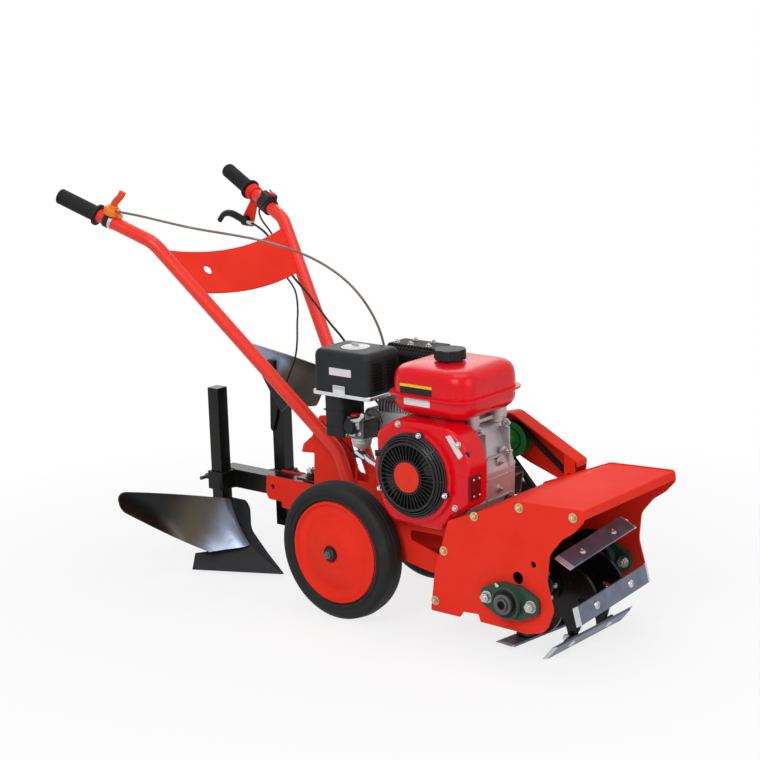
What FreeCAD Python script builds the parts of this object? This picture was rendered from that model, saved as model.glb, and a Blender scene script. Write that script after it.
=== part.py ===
"""Power weeder: two free wheels, a petrol engine, a belt-driven rotor of seven blades and two clamped ploughs.

Millimetres, +X forward (rotor end), +Y to the machine's left, +Z up.  Lengths along X are written from the
wheel axle and heights from a datum just above the ground; every piece is moved by ORIGIN_X and RIDE_HEIGHT
on export, so that the origin is on the ground under the middle.
"""
import FreeCAD
import Part

import math
import os

os.makedirs("parts", exist_ok=True)

Vector = FreeCAD.Vector
SHEET = 4.0                      # thickness of the folded frame sheets
ORIGIN_X = 42.0                  # the axle's place along X in the exported frame

# Wheels
AXLE_Z = 135.0
WHEEL_R = 140.0
RIDE_HEIGHT = WHEEL_R - AXLE_Z   # the datum's height above the ground
TYRE_WIDTH = 54.0
RIM_R = 108.0
TRACK_HALF = 149.0               # middle plane of each wheel
AXLE_R = 10.0
HUB_R = 17.0

# Frame
CHEEK_IN = 21.0                  # inner face of the two long frame sides
CHEEK_OUT = CHEEK_IN + SHEET
DECK_Z = 212.0                   # top of the engine deck
BED_HALF = 108.0                 # half width of the engine bed
BED_REAR = 30.0
BED_FRONT = 262.0

# Handlebars
TUBE_R = 14.0
GRIP_R = 16.5
HANDLE_END = (-645.0, 251.0, 813.0)
HANDLE_BEND = (-437.0, 197.5, 725.0)
HANDLE_KNEE = (-97.0, 39.5, 300.0)
HANDLE_FOOT = (-68.0, 39.5, 226.0)
GRIP_LENGTH = 96.0

# Engine
CRANK_X = 191.0
CRANK_Z = 319.0
STARTER_FACE_Y = -176.0
STARTER_R = 83.0

TANK_SEAM = 468.0
CAP_AT = (205.0, -50.0)

# Rotor
ROTOR_X = 420.0
ROTOR_Z = 116.0
HOUSING_HALF = 160.0             # outer face of each rotor side plate
BLADE_COUNT = 7
BLADE_LENGTH = 252.0
BLADE_WIDTH = 37.0
BLADE_THICK = 5.0
BLADE_FACE_R = 120.5             # outer face of a blade, at its middle
BLADE_SKEW = 4.5                 # degrees that a blade leans along the shaft
BLADE_RAKE = 16.6                # degrees between a blade's face and the tangent
BLADE_START = 46.0
BLADE_BEVEL = 11.0               # length of the ground bevel at each end
BEARING_BOLTS = 99.0             # bolt spacing of the flange bearings
BOLT_HALF = 58.0                 # half the distance between a blade's two bolts
DISC_HALF = 44.0                 # middle plane of each disc; its tabs stand outward from it
ARM_THICK = 6.0
TAB_HALF = 15.0                  # half width of the tab under a blade
SHAFT_R = 12.5
RUNNING_GAP = 0.05               # radial clearance of a shaft in its bearing

# Plough
BAR = 40.0                       # square drawbar
BAR_Z = 188.0
HITCH_X = -296.0                 # pin hole through the cheeks and the drawbar
HITCH_R = 5.0
POST = 30.0                      # square posts
POST_Y = 39.0
FRONT_POST_Y = 44.5
REAR_POST_X = -432.0
FRONT_POST_X = -324.0
REAR_TIP = (REAR_POST_X + 166, -POST_Y, 2.0)
SHARE_SWEEP = (184.0, 86.0)      # backward and sideways run of the cutting edge


def vec(point):
    """Vector of a point in the axle frame."""
    return Vector(*point)


def box(x0, x1, y0, y1, z0, z1):
    return Part.makeBox(x1 - x0, y1 - y0, z1 - z0, Vector(x0, y0, z0))


def outline(corners, place):
    """Closed wire through (u, v) or (u, v, radius) corners, each rounded to its radius."""
    edges = []
    count = len(corners)
    cuts = []
    for index, corner in enumerate(corners):
        here = place(corner[0], corner[1])
        radius = corner[2] if len(corner) > 2 else 0.0
        before = place(*corners[index - 1][:2]) - here
        after = place(*corners[(index + 1) % count][:2]) - here
        if radius == 0.0:
            cuts.append((here, here, None))
            continue
        half = before.getAngle(after) / 2
        reach = radius / math.tan(half)
        middle = (before.normalize() + after.normalize()).normalize()
        tip = here + middle * (radius / math.sin(half) - radius)
        cuts.append((here + before * reach, here + after * reach, tip))
    for index, (start, end, tip) in enumerate(cuts):
        if tip is not None:
            edges.append(Part.Arc(start, tip, end).toShape())
        following = cuts[(index + 1) % count][0]
        if end.distanceToPoint(following) > 1e-6:
            edges.append(Part.LineSegment(end, following).toShape())
    return Part.Wire(edges)


def plate_xz(corners, y0, y1):
    """Solid plate with an outline in the XZ plane, between two Y values."""
    wire = outline(corners, lambda u, v: Vector(u, y0, v))
    return Part.Face(wire).extrude(Vector(0, y1 - y0, 0))


def plate_xy(corners, z0, z1):
    wire = outline(corners, lambda u, v: Vector(u, v, z0))
    return Part.Face(wire).extrude(Vector(0, 0, z1 - z0))


def plate_yz(corners, x0, x1):
    wire = outline(corners, lambda u, v: Vector(x0, u, v))
    return Part.Face(wire).extrude(Vector(x1 - x0, 0, 0))


def rod(start, end, radius):
    """Round bar from one point to another."""
    start = vec(start)
    axis = vec(end) - start
    return Part.makeCylinder(radius, axis.Length, start, axis)


def ring_y(x, z, y0, y1, outer, inner):
    """Ring about an axis along Y."""
    ring = rod((x, y0, z), (x, y1, z), outer)
    return ring.cut(rod((x, y0 - 1, z), (x, y1 + 1, z), inner))


def turned_y(profile, x, z):
    """Solid of revolution about an axis along Y, from (radius, y) corners."""
    wire = outline(profile, lambda u, v: Vector(x + u, v, z))
    return Part.Face(wire).revolve(Vector(x, 0, z), Vector(0, 1, 0), 360)


def turned_z(profile, x, y):
    """Solid of revolution about an upright axis, from (radius, z) corners."""
    wire = outline(profile, lambda u, v: Vector(x + u, y, v))
    return Part.Face(wire).revolve(Vector(x, y, 0), Vector(0, 0, 1), 360)


def hexagon(centre, axis, across, height):
    """Hexagonal bolt head standing on a point."""
    ring = Part.makePolygon([Vector(across / math.sqrt(3) * math.cos(math.radians(60 * k)),
                                    across / math.sqrt(3) * math.sin(math.radians(60 * k)), 0) for k in range(7)])
    head = Part.Face(ring).extrude(Vector(0, 0, height))
    head.Placement = FreeCAD.Placement(vec(centre), FreeCAD.Rotation(Vector(0, 0, 1), vec(axis)))
    return head


def mirrored(shape):
    """The same piece on the machine's other side."""
    return shape.mirror(Vector(0, 0, 0), Vector(0, 1, 0))


def fused(pieces):
    return pieces[0].fuse(pieces[1:]).removeSplitter() if len(pieces) > 1 else pieces[0]


def tube_path(points, radii):
    """Wire of straight runs joined by tangent arcs."""
    path = [vec(point) for point in points]
    edges = []
    start = path[0]
    for index in range(1, len(path) - 1):
        here = path[index]
        back = (path[index - 1] - here).normalize()
        ahead = (path[index + 1] - here).normalize()
        half = back.getAngle(ahead) / 2
        reach = radii[index - 1] / math.tan(half)
        tip = here + (back + ahead).normalize() * (radii[index - 1] / math.sin(half) - radii[index - 1])
        edges.append(Part.LineSegment(start, here + back * reach).toShape())
        edges.append(Part.Arc(here + back * reach, tip, here + ahead * reach).toShape())
        start = here + ahead * reach
    edges.append(Part.LineSegment(start, path[-1]).toShape())
    return Part.Wire(edges)


def swept_tube(points, radii, radius):
    """Round bar swept along straight runs and tangent arcs."""
    path = tube_path(points, radii)
    direction = vec(points[1]) - vec(points[0])
    profile = Part.Wire(Part.makeCircle(radius, vec(points[0]), direction))
    return path.makePipeShell([profile], True, False)


def cord(points, radius):
    """A cable's tube: each arc has 0.45 of its shorter run over the tangent of half its turn."""
    radii = []
    for index in range(1, len(points) - 1):
        back = vec(points[index]) - vec(points[index - 1])
        ahead = vec(points[index + 1]) - vec(points[index])
        turn = back.getAngle(ahead)
        radii.append(0.45 * min(back.Length, ahead.Length) / math.tan(turn / 2))
    print("cord bends", [round(value) for value in radii])
    return swept_tube(points, radii, radius)


# ---------------------------------------------------------------- wheels

def tyre():
    """Solid rubber tyre of the right wheel, with rounded shoulders."""
    side = TYRE_WIDTH / 2
    profile = [(RIM_R - 4, -side + 5, 2), (RIM_R + 2, -side, 4), (WHEEL_R, -side + 4, 13),
               (WHEEL_R, side - 4, 13), (RIM_R + 2, side, 4), (RIM_R - 4, side - 5, 2)]
    return turned_y([(u, v - TRACK_HALF, r) for u, v, r in profile], 0, AXLE_Z)


def wheel_disc():
    """Pressed steel disc of the right wheel: rim band, groove, domed centre and hub tube."""
    rim = ring_y(0, AXLE_Z, -TRACK_HALF - 22, -TRACK_HALF + 22, RIM_R - 4, RIM_R - 7)
    outer = [(RIM_R - 5, -22), (RIM_R - 5, -26, 1), (RIM_R - 9, -27, 1), (RIM_R - 13, -19, 4), (80, -17, 14),
             (42, -31, 16), (HUB_R - 1, -34, 3)]
    inner = [(HUB_R - 1, -30, 2), (40, -27, 16), (79, -13, 14), (RIM_R - 13, -15, 3), (RIM_R - 7, -15)]
    dish = turned_y([(p[0], p[1] - TRACK_HALF) + tuple(p[2:]) for p in outer + inner], 0, AXLE_Z)
    hub = ring_y(0, AXLE_Z, -TRACK_HALF - 32, -TRACK_HALF + 30, HUB_R, AXLE_R + RUNNING_GAP)
    return fused([rim, dish, hub])


def wheel_axle():
    """Round axle with a collar outside each wheel hub."""
    bar = rod((0, -TRACK_HALF - 40, AXLE_Z), (0, TRACK_HALF + 40, AXLE_Z), AXLE_R)
    collars = [rod((0, side * (TRACK_HALF + 33), AXLE_Z), (0, side * (TRACK_HALF + 38), AXLE_Z), 14)
               for side in (-1, 1)]
    return fused([bar] + collars)


# ---------------------------------------------------------------- frame

def frame_side():
    """Right long side of the frame: hitch cheek, handle upright, axle carrier and bed support in one sheet."""
    corners = [(-312, 212, 3), (-178, 210, 3), (-174, 280, 3), (-209, 277, 2), (-203, 296, 5), (-178, 316, 10),
               (-156, 362, 6), (-130, 366, 6), (-112, 300, 30), (-96, 240, 14), (-30, 236, 10),
               (-26, 286, 6), (12, 290, 6), (18, 208), (BED_FRONT, 208), (240, 150, 8), (60, 116, 20),
               (-40, 112, 20), (-150, 140, 12), (-272, 146, 4), (-272, 159, 4), (-308, 159, 6), (-316, 172, 4)]
    sheet = plate_xz(corners, -CHEEK_OUT, -CHEEK_IN)
    pin_hole = rod((HITCH_X, -CHEEK_OUT - 1, BAR_Z), (HITCH_X, -CHEEK_IN + 1, BAR_Z), HITCH_R)
    axle_hole = rod((0, -CHEEK_OUT - 1, AXLE_Z), (0, -CHEEK_IN + 1, AXLE_Z), AXLE_R)
    return sheet.cut(pin_hole).cut(axle_hole)


def frame_webs():
    """Cross sheets that join the two long sides, below the drawbar and behind the bed."""
    floor = box(-272, -60, -CHEEK_IN, CHEEK_IN, 150, 154)
    heel = box(-64, -60, -CHEEK_IN, CHEEK_IN, 154, 208)
    return fused([floor, heel])


def engine_bed():
    """Folded bed under the engine: deck with two turned-down sides, each with a slanted window."""
    deck = box(BED_REAR, BED_FRONT, -BED_HALF, BED_HALF, DECK_Z - SHEET, DECK_Z)
    corners = [(BED_REAR, DECK_Z), (BED_FRONT, DECK_Z), (232, 114, 6), (190, 112, 10), (BED_REAR, 140, 10)]
    side = plate_xz(corners, -BED_HALF, -BED_HALF + SHEET)
    window = plate_xz([(142, 190, 6), (226, 191, 6), (212, 150, 6), (142, 170, 6)], -BED_HALF - 1, -BED_HALF + 5)
    side = side.cut(window)
    slots = [box(CRANK_X + dx - 9, CRANK_X + dx + 9, dy - 4, dy + 4, 200, 220) for dx in (-70, 40) for dy in (-70, 70)]
    return fused([deck, side, mirrored(side)]).cut(Part.makeCompound(slots))


def drawbar_clamp():
    """Black strap across the drawbar, with two bolts."""
    strap = plate_xy([(-232, -20.5, 3), (-120, -20.5, 3), (-120, 20.5, 3), (-232, 20.5, 3)], 212.5, 218)
    pieces = [strap]
    for x in (-206, -172):
        pieces.append(rod((x, 0, 210), (x, 0, 240), 6))
        pieces.append(hexagon((x, 0, 218), (0, 0, 1), 19, 9))
        pieces.append(hexagon((x, 0, 232), (0, 0, 1), 19, 8))
    return fused(pieces)


# ---------------------------------------------------------------- handlebars

def handlebar():
    """Right handle tube, bent below the grip and above its foot."""
    points = [(x, -y, z) for x, y, z in (HANDLE_END, HANDLE_BEND, HANDLE_KNEE, HANDLE_FOOT)]
    return swept_tube(points, [70.0, 60.0], TUBE_R)


def along_grip(distance, side=-1):
    """Point on the upper run of a handle, measured from its free end."""
    end = vec(HANDLE_END)
    bend = vec(HANDLE_BEND)
    point = end + (bend - end).normalize() * distance
    return (point.x, side * point.y, point.z)


def handle_grip():
    """Right rubber grip: a sleeve round the tube's end, with an end cap and a flange."""
    sleeve = rod(along_grip(-5), along_grip(GRIP_LENGTH), GRIP_R)
    flange = rod(along_grip(GRIP_LENGTH - 7), along_grip(GRIP_LENGTH), 23)
    bore = rod(along_grip(0), along_grip(GRIP_LENGTH + 1), TUBE_R)
    return fused([sleeve, flange]).cut(bore)


def panel_point(half_width, drop):
    """Point of the cross panel: drop is measured down from the handle bend, in the plane of the two tubes."""
    bend = vec(HANDLE_BEND)
    knee = vec(HANDLE_KNEE)
    step = (knee - bend) * (drop / (bend.z - knee.z))
    return Vector(bend.x + step.x, half_width, bend.z + step.z)


def tube_half_width(drop):
    bend = vec(HANDLE_BEND)
    knee = vec(HANDLE_KNEE)
    return bend.y + (knee.y - bend.y) * drop / (bend.z - knee.z)


def cross_panel():
    """Curved sheet between the tubes, hollow along its top edge and full along its bottom edge."""
    top, bottom = 16.0, 104.0
    wide = tube_half_width(top) - 6
    narrow = tube_half_width(bottom) - 6
    rim = [Part.Arc(panel_point(-wide, top), panel_point(0, top + 22), panel_point(wide, top)).toShape(),
           Part.LineSegment(panel_point(wide, top), panel_point(narrow, bottom)).toShape(),
           Part.Arc(panel_point(narrow, bottom), panel_point(0, bottom + 14), panel_point(-narrow, bottom)).toShape(),
           Part.LineSegment(panel_point(-narrow, bottom), panel_point(-wide, top)).toShape()]
    along = (panel_point(0, 100) - panel_point(0, 0)).normalize()
    normal = along.cross(Vector(0, 1, 0)).normalize() * SHEET
    sheet = Part.Face(Part.Wire(rim)).extrude(normal)
    sheet.translate(normal * -0.5)
    hole_at = panel_point(-98.5, 67)
    hole = Part.makeCylinder(10, 20, hole_at - normal.normalize() * 10, normal)
    tubes = [handlebar(), mirrored(handlebar())]
    return sheet.cut(hole).cut(Part.makeCompound(tubes))


# ---------------------------------------------------------------- engine

def engine_block():
    """Crankcase, cylinder and head, plain where the shroud and the tank cover them."""
    case = plate_xz([(110, DECK_Z, 6), (268, DECK_Z, 8), (270, 300, 24), (244, 396, 20), (110, 396, 10)], -92, 76)
    cylinder = plate_xz([(-10, 336, 8), (110, 300), (110, 400), (86, 408, 8), (-10, 408, 8)], -52, 66)
    nose = rod((CRANK_X, 70, CRANK_Z), (CRANK_X, 96, CRANK_Z), 36)
    foot = plate_xz([(60, DECK_Z), (112, DECK_Z), (112, 300), (96, 300, 10)], -40, 60)
    return fused([case, cylinder, nose, foot])


def fan_shroud():
    """Red fan housing on the starter side, drawn in round the fan and open to the cylinder."""
    corners = [(98, 250, 60), (128, DECK_Z + 4, 30), (248, DECK_Z + 4, 20), (276, 250, 16), (316, 272, 30),
               (318, 350, 60), (296, 420, 60), (140, 420, 24), (96, 390, 24)]
    body = plate_xz(corners, -150, -92)
    body = body.makeFillet(10, [edge for edge in body.Edges if edge.BoundBox.YMax < -149])
    ring = rod((CRANK_X, -158, CRANK_Z), (CRANK_X, -148, CRANK_Z), STARTER_R + 8)
    return fused([body, ring])


def recoil_starter():
    """Domed starter cover with a round middle disc."""
    return turned_y([(0, -158), (STARTER_R, -158), (STARTER_R, -166, 4), (64, STARTER_FACE_Y - 2, 8),
                     (30, STARTER_FACE_Y - 2), (30, STARTER_FACE_Y, 1), (0, STARTER_FACE_Y)], CRANK_X, CRANK_Z)


def fuel_tank():
    """Two pressed shells joined by a flange."""
    upper = plate_xy([(112, -132, 36), (298, -132, 32), (298, 62, 32), (112, 62, 36)], TANK_SEAM, 524)
    upper = upper.makeFillet(24, [edge for edge in upper.Edges if edge.BoundBox.ZMin > 523])
    flange = plate_xy([(104, -140, 42), (306, -140, 38), (306, 70, 38), (104, 70, 42)], TANK_SEAM - 4, TANK_SEAM)
    lower = plate_xy([(116, -128, 34), (296, -128, 30), (296, 56, 30), (116, 56, 34)], 424, TANK_SEAM - 4)
    lower = lower.makeFillet(14, [edge for edge in lower.Edges if edge.BoundBox.ZMax < 425])
    feet = [rod((x, y, 398), (x, y, 426), 12) for x, y in ((150, 20), (260, 20), (262, -60))]
    return fused([lower, flange, upper] + feet)


def fuel_cap():
    """Round cap with finger hollows round its rim, on a short neck."""
    neck = rod((CAP_AT[0], CAP_AT[1], 524), (CAP_AT[0], CAP_AT[1], 530), 24)
    cap = rod((CAP_AT[0], CAP_AT[1], 528), (CAP_AT[0], CAP_AT[1], 547), 31)
    cap = cap.makeFillet(2, [edge for edge in cap.Edges if edge.BoundBox.ZMin > 546])
    hollows = []
    for index in range(8):
        angle = math.radians(45 * index)
        x = CAP_AT[0] + 36 * math.cos(angle)
        y = CAP_AT[1] + 36 * math.sin(angle)
        hollows.append(rod((x, y, 520), (x, y, 560), 8))
    return fused([neck, cap]).cut(Part.makeCompound(hollows))


def air_filter():
    """Black filter case with a rounded top and a top disc."""
    case = plate_xy([(-84, -122, 14), (58, -122, 14), (58, -14, 14), (-84, -14, 14)], 446, 530)
    case = case.makeFillet(12, [edge for edge in case.Edges if edge.BoundBox.ZMin > 529])
    return case


def filter_base():
    """Metal tray below the filter case, and the elbow that leads down from it."""
    tray = plate_xy([(-88, -126, 14), (62, -126, 14), (62, -10, 14), (-88, -10, 14)], 438, 446)
    elbow = plate_xy([(-70, -108, 12), (-22, -108, 12), (-22, -34, 12), (-70, -34, 12)], 350, 438)
    return fused([tray, elbow])


def carburettor():
    """Body and float bowl."""
    body = plate_xz([(-22, 350, 4), (24, 350, 4), (24, 392, 8), (-22, 398, 8)], -100, -52)
    bowl = turned_z([(0, 322), (12, 322, 3), (20, 334, 4), (20, 350), (0, 350)], 0, -76)
    return fused([body, bowl])


def muffler():
    """Muffler in its guard: a long box with sloping upper edges, on a pipe from the cylinder."""
    side = [(18, 440), (102, 440), (102, 502, 6), (88, 520, 8), (34, 520, 8), (18, 504, 6)]
    guard = plate_yz(side, -15, 100)
    pipe = rod((60, 50, 408), (60, 50, 445), 17)
    return fused([guard, pipe])


def drive_pulley():
    """Grooved pulley on the crankshaft."""
    shaft = rod((CRANK_X, 96, CRANK_Z), (CRANK_X, BELT_Y + 14, CRANK_Z), 10)
    return fused([shaft, grooved_wheel(DRIVE_PULLEY_R, 9, CRANK_X, CRANK_Z)])


# ---------------------------------------------------------------- belt drive

DRIVE_PULLEY_R = 37.0
ROTOR_PULLEY_R = 66.0
GUARD_OUT = 196.0
ROLLER_R = 17.0
BELT_Y = 176.0                   # middle plane of the belt
BELT_HALF = 5.5
PULLEY_HALF = 12.0


def grooved_wheel(radius, bore, x, z):
    """V-belt pulley in the belt's plane, with a thin web between its rim and hub."""
    floor = radius - 9
    web = radius - 16
    sides = [(bore, -PULLEY_HALF), (bore + 16, -PULLEY_HALF), (bore + 16, -3, 2), (web, -3, 2), (web, -PULLEY_HALF),
             (radius, -PULLEY_HALF), (radius, -PULLEY_HALF + 2.5), (floor, -BELT_HALF - 1)]
    other = [(corner[0], -corner[1]) + tuple(corner[2:]) for corner in reversed(sides)]
    return turned_y([(corner[0], BELT_Y + corner[1]) + tuple(corner[2:]) for corner in sides + other], x, z)


def rotor_pulley():
    """Large pulley keyed to the rotor shaft."""
    return grooved_wheel(ROTOR_PULLEY_R, SHAFT_R, ROTOR_X, ROTOR_Z)


def loop_corners(radius_a, radius_b):
    """Belt outline round the drive pulley and the rotor pulley."""
    first = Vector(CRANK_X, 0, CRANK_Z)
    second = Vector(ROTOR_X, 0, ROTOR_Z)
    line = second - first
    base = math.atan2(line.z, line.x)
    spread = math.acos((radius_a - radius_b) / line.Length)
    def spot(centre, radius, angle):
        return centre + Vector(math.cos(angle), 0, math.sin(angle)) * radius
    above = [spot(first, radius_a, base + spread), spot(second, radius_b, base + spread)]
    below = [spot(second, radius_b, base - spread), spot(first, radius_a, base - spread)]
    far_end = spot(second, radius_b, base)
    near_end = spot(first, radius_a, base + math.pi)
    return above, below, near_end, far_end


def loop_wire(radius_a, radius_b, y):
    above, below, near_end, far_end = loop_corners(radius_a, radius_b)
    points = [point + Vector(0, y, 0) for point in above + below + [near_end, far_end]]
    return Part.Wire([Part.LineSegment(points[0], points[1]).toShape(), Part.Arc(points[1], points[5], points[2]).toShape(),
                      Part.LineSegment(points[2], points[3]).toShape(), Part.Arc(points[3], points[4], points[0]).toShape()])


def belt():
    """V-belt, with its inner face just clear of the rotor pulley's groove."""
    top_drive, top_rotor = DRIVE_PULLEY_R - 1, ROTOR_PULLEY_R - 1
    outer = Part.Face(loop_wire(top_drive, top_rotor, BELT_Y - BELT_HALF)).extrude(Vector(0, 2 * BELT_HALF, 0))
    inner = Part.Face(loop_wire(DRIVE_PULLEY_R - 9, ROTOR_PULLEY_R - 8.5, BELT_Y - 8)).extrude(Vector(0, 16, 0))
    return outer.cut(inner)


def belt_guard():
    """Channel over the belt: a sloping top, an outer wall, and an inner lip bolted to the rotor side plate."""
    outside = [(146, 300, 30), (150, 366, 12), (196, 377, 26), (354, 296, 6), (350, 250, 10), (300, 240, 20),
               (216, 268, 30)]
    inside = [(130, 250), (153, 362, 9), (195, 373, 23), (350, 293), (370, 230), (300, 200), (216, 230)]
    channel = plate_xz(outside, HOUSING_HALF, GUARD_OUT)
    channel = channel.cut(plate_xz(inside, HOUSING_HALF - 1, GUARD_OUT - 3))
    lip = plate_xz([(322, 254, 4), (348, 264, 4), (348, 298), (322, 311)], HOUSING_HALF, HOUSING_HALF + 3)
    return fused([channel, lip])


def belt_tensioner():
    """Arm on the crankcase with a flat roller under the lower run of the belt."""
    below = loop_corners(DRIVE_PULLEY_R - 1, ROTOR_PULLEY_R - 1)[1]
    run = (below[0] - below[1]).normalize()
    out = Vector(0, 1, 0).cross(run)
    if out.z > 0:
        out = out * -1
    at = below[1] + run * 90 + out * (ROLLER_R + 0.5)
    boss = (222, 0, 262)
    pivot = rod((boss[0], 76, boss[2]), (boss[0], 150, boss[2]), 9)
    arm = Vector(at.x - boss[0], 0, at.z - boss[2])
    side = Vector(-arm.z, 0, arm.x).normalize() * 10
    ends = [vec((boss[0], 146, boss[2])) + side, vec((boss[0], 146, boss[2])) - side,
            Vector(at.x, 146, at.z) - side, Vector(at.x, 146, at.z) + side]
    bar = Part.Face(Part.makePolygon(ends + [ends[0]])).extrude(Vector(0, 5, 0))
    pin = rod((at.x, 146, at.z), (at.x, BELT_Y + 12, at.z), 6)
    roller = rod((at.x, BELT_Y - 9, at.z), (at.x, BELT_Y + 9, at.z), ROLLER_R)
    return fused([pivot, bar, pin, roller])


# ---------------------------------------------------------------- rotor housing

def rotor_side():
    """Right side plate of the rotor housing."""
    corners = [(275, 244, 6), (432, 308, 30), (576, 314, 8), (578, 292, 10), (556, 268, 20), (530, 250, 30),
               (503, 218, 30), (497, 164, 60), (512, 112, 26), (494, 66, 34), (452, 56, 20), (346, 58, 2),
               (342, 72, 3), (306, 70, 3), (298, 58, 2), (229, 58, 4),
               (240, 138, 20)]
    sheet = plate_xz(corners, -HOUSING_HALF, -HOUSING_HALF + SHEET)
    for x, z, radius in ((ROTOR_X, ROTOR_Z, 19), (433, 161, 12), (468, 193, 6)):
        sheet = sheet.cut(rod((x, -HOUSING_HALF - 1, z), (x, -HOUSING_HALF + 5, z), radius))
    return sheet


def rotor_cover():
    """Folded cover: rear wall, sloping top and flat front with a turned-down lip."""
    inside = HOUSING_HALF - SHEET
    top = [(233, 62), (244, 138), (278, 242, 4), (433, 306, 30), (576, 312, 3), (576, 294), (572, 294),
           (572, 308, 1), (434, 302, 26), (281, 239, 4), (248, 137), (237, 62)]
    return plate_xz(top, -inside, inside)


def flange_bearing(face, out):
    """Two-bolt flange bearing on a rotor side plate: face is the plate's surface, out the way it stands off."""
    def place(u, v):
        return Vector(ROTOR_X + u, face, ROTOR_Z + v)
    half = BEARING_BOLTS / 2
    plate = outline([(-half - 15, -14, 12), (-half - 15, 14, 12), (-26, 33, 30), (26, 33, 30), (half + 15, 14, 12),
                     (half + 15, -14, 12), (26, -33, 30), (-26, -33, 30)], place)
    body = Part.Face(plate).extrude(Vector(0, out * 11, 0))
    boss = rod((ROTOR_X, face + out * 11, ROTOR_Z), (ROTOR_X, face + out * 24, ROTOR_Z), 31)
    bore = rod((ROTOR_X, face - 1, ROTOR_Z), (ROTOR_X, face + out * 40, ROTOR_Z), SHAFT_R + RUNNING_GAP)
    bore = bore.fuse(rod((ROTOR_X, face + 1, ROTOR_Z), (ROTOR_X, face - 1, ROTOR_Z), SHAFT_R + RUNNING_GAP))
    return fused([body, boss]).cut(bore)


# ---------------------------------------------------------------- rotor

def rotor_shaft():
    return rod((ROTOR_X, -HOUSING_HALF - 34, ROTOR_Z), (ROTOR_X, BELT_Y + 16, ROTOR_Z), SHAFT_R)


def blade_frame(index):
    """Centre, length direction, width direction and outward normal of one blade."""
    angle = math.radians(BLADE_START - 360.0 / BLADE_COUNT * index)
    radial = Vector(math.cos(angle), 0, math.sin(angle))
    tangent = Vector(-math.sin(angle), 0, math.cos(angle))
    skew = math.radians(BLADE_SKEW)
    rake = math.radians(BLADE_RAKE)
    length = Vector(0, math.cos(skew), 0) + tangent * math.sin(skew)
    flat = tangent * -math.cos(skew) + Vector(0, math.sin(skew), 0)
    width = flat * math.cos(rake) + radial * math.sin(rake)
    normal = width.cross(length)
    if normal.dot(radial) < 0:
        normal = normal * -1
    centre = Vector(ROTOR_X, 0, ROTOR_Z) + radial * BLADE_FACE_R - normal * BLADE_THICK
    return centre, length, width, normal


def rotor_blade(index):
    """Flat blade with its cutting edges ground to a bevel at both ends."""
    centre, length, width, normal = blade_frame(index)
    def place(u, v):
        return centre + length * u + normal * v - width * (BLADE_WIDTH / 2)
    half = BLADE_LENGTH / 2
    rim = outline([(-half, 0), (half, 0), (half, 1), (half - BLADE_BEVEL, BLADE_THICK),
                   (BLADE_BEVEL - half, BLADE_THICK), (-half, 1)], place)
    return Part.Face(rim).extrude(width * BLADE_WIDTH)


def rotor_blades():
    return Part.makeCompound([rotor_blade(index) for index in range(BLADE_COUNT)])


def disc_arm(index, side):
    """One curved arm of a disc and the bolting tab turned outward at its end, under a blade."""
    centre, length, width, normal = blade_frame(index)
    y = side * DISC_HALF
    foot = centre + length * y - normal * 3
    middle = math.atan2(foot.z - ROTOR_Z, foot.x - ROTOR_X)
    face = y - ARM_THICK / 2
    def polar(radius, degrees):
        angle = middle + math.radians(degrees)
        return Vector(ROTOR_X + radius * math.cos(angle), face, ROTOR_Z + radius * math.sin(angle))
    def flat(point):
        return Vector(point.x, face, point.z)
    heel = flat(foot - width * TAB_HALF)
    toe = flat(foot + width * TAB_HALF)
    rim = Part.Wire([Part.Arc(polar(52, 62), polar(86, 33), heel).toShape(), Part.LineSegment(heel, toe).toShape(),
                     Part.Arc(toe, polar(84, -1), polar(52, -8)).toShape(),
                     Part.LineSegment(polar(52, -8), polar(52, 62)).toShape()])
    arm = Part.Face(rim).extrude(Vector(0, ARM_THICK, 0))
    def place(u, v):
        return centre + length * (side * u) + width * v - normal * 5
    tab = outline([(DISC_HALF - 3, -TAB_HALF), (BOLT_HALF + 17, -TAB_HALF, 10), (BOLT_HALF + 17, TAB_HALF, 10),
                   (DISC_HALF - 3, TAB_HALF)], place)
    return [arm, Part.Face(tab).extrude(normal * 5)]


def rotor_disc(side):
    """Pinwheel disc: seven curved arms on a round plate, with a bolted hub flange."""
    y = side * DISC_HALF
    outer = y + side * ARM_THICK / 2
    flange = sorted([outer, outer + side * 8])
    hub = ring_y(ROTOR_X, ROTOR_Z, y - 14, y + 14, 24, SHAFT_R)
    pieces = [hub, ring_y(ROTOR_X, ROTOR_Z, y - ARM_THICK / 2, y + ARM_THICK / 2, 60, SHAFT_R),
              ring_y(ROTOR_X, ROTOR_Z, flange[0], flange[1], 34, SHAFT_R)]
    for index in range(BLADE_COUNT):
        pieces.extend(disc_arm(index, side))
    return fused(pieces)


# ---------------------------------------------------------------- plough

def drawbar():
    """Square drawbar with a square sleeve for each post, one on each side of it, and the hitch pin's hole."""
    half = BAR / 2
    low, high = BAR_Z - half, BAR_Z + half
    bar = box(REAR_POST_X - 20, -66, -half, half, low, high)
    rear_sleeve = box(REAR_POST_X - 21, REAR_POST_X + 21, -POST_Y - 20, -half, low, high)
    front_sleeve = box(FRONT_POST_X - 21, FRONT_POST_X + 21, FRONT_POST_Y - 19, FRONT_POST_Y + 20, low, high)
    spacer = box(FRONT_POST_X - 21, -319, half, FRONT_POST_Y - 19, low, high)
    gap = POST / 2 + 0.5
    channels = [box(x - gap, x + gap, y - gap, y + gap, BAR_Z - 40, BAR_Z + 40)
                for x, y in ((REAR_POST_X, -POST_Y), (FRONT_POST_X, FRONT_POST_Y))]
    pin_hole = rod((HITCH_X, -half - 1, BAR_Z), (HITCH_X, half + 1, BAR_Z), HITCH_R)
    return fused([bar, rear_sleeve, front_sleeve, spacer]).cut(Part.makeCompound(channels + [pin_hole]))


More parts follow.
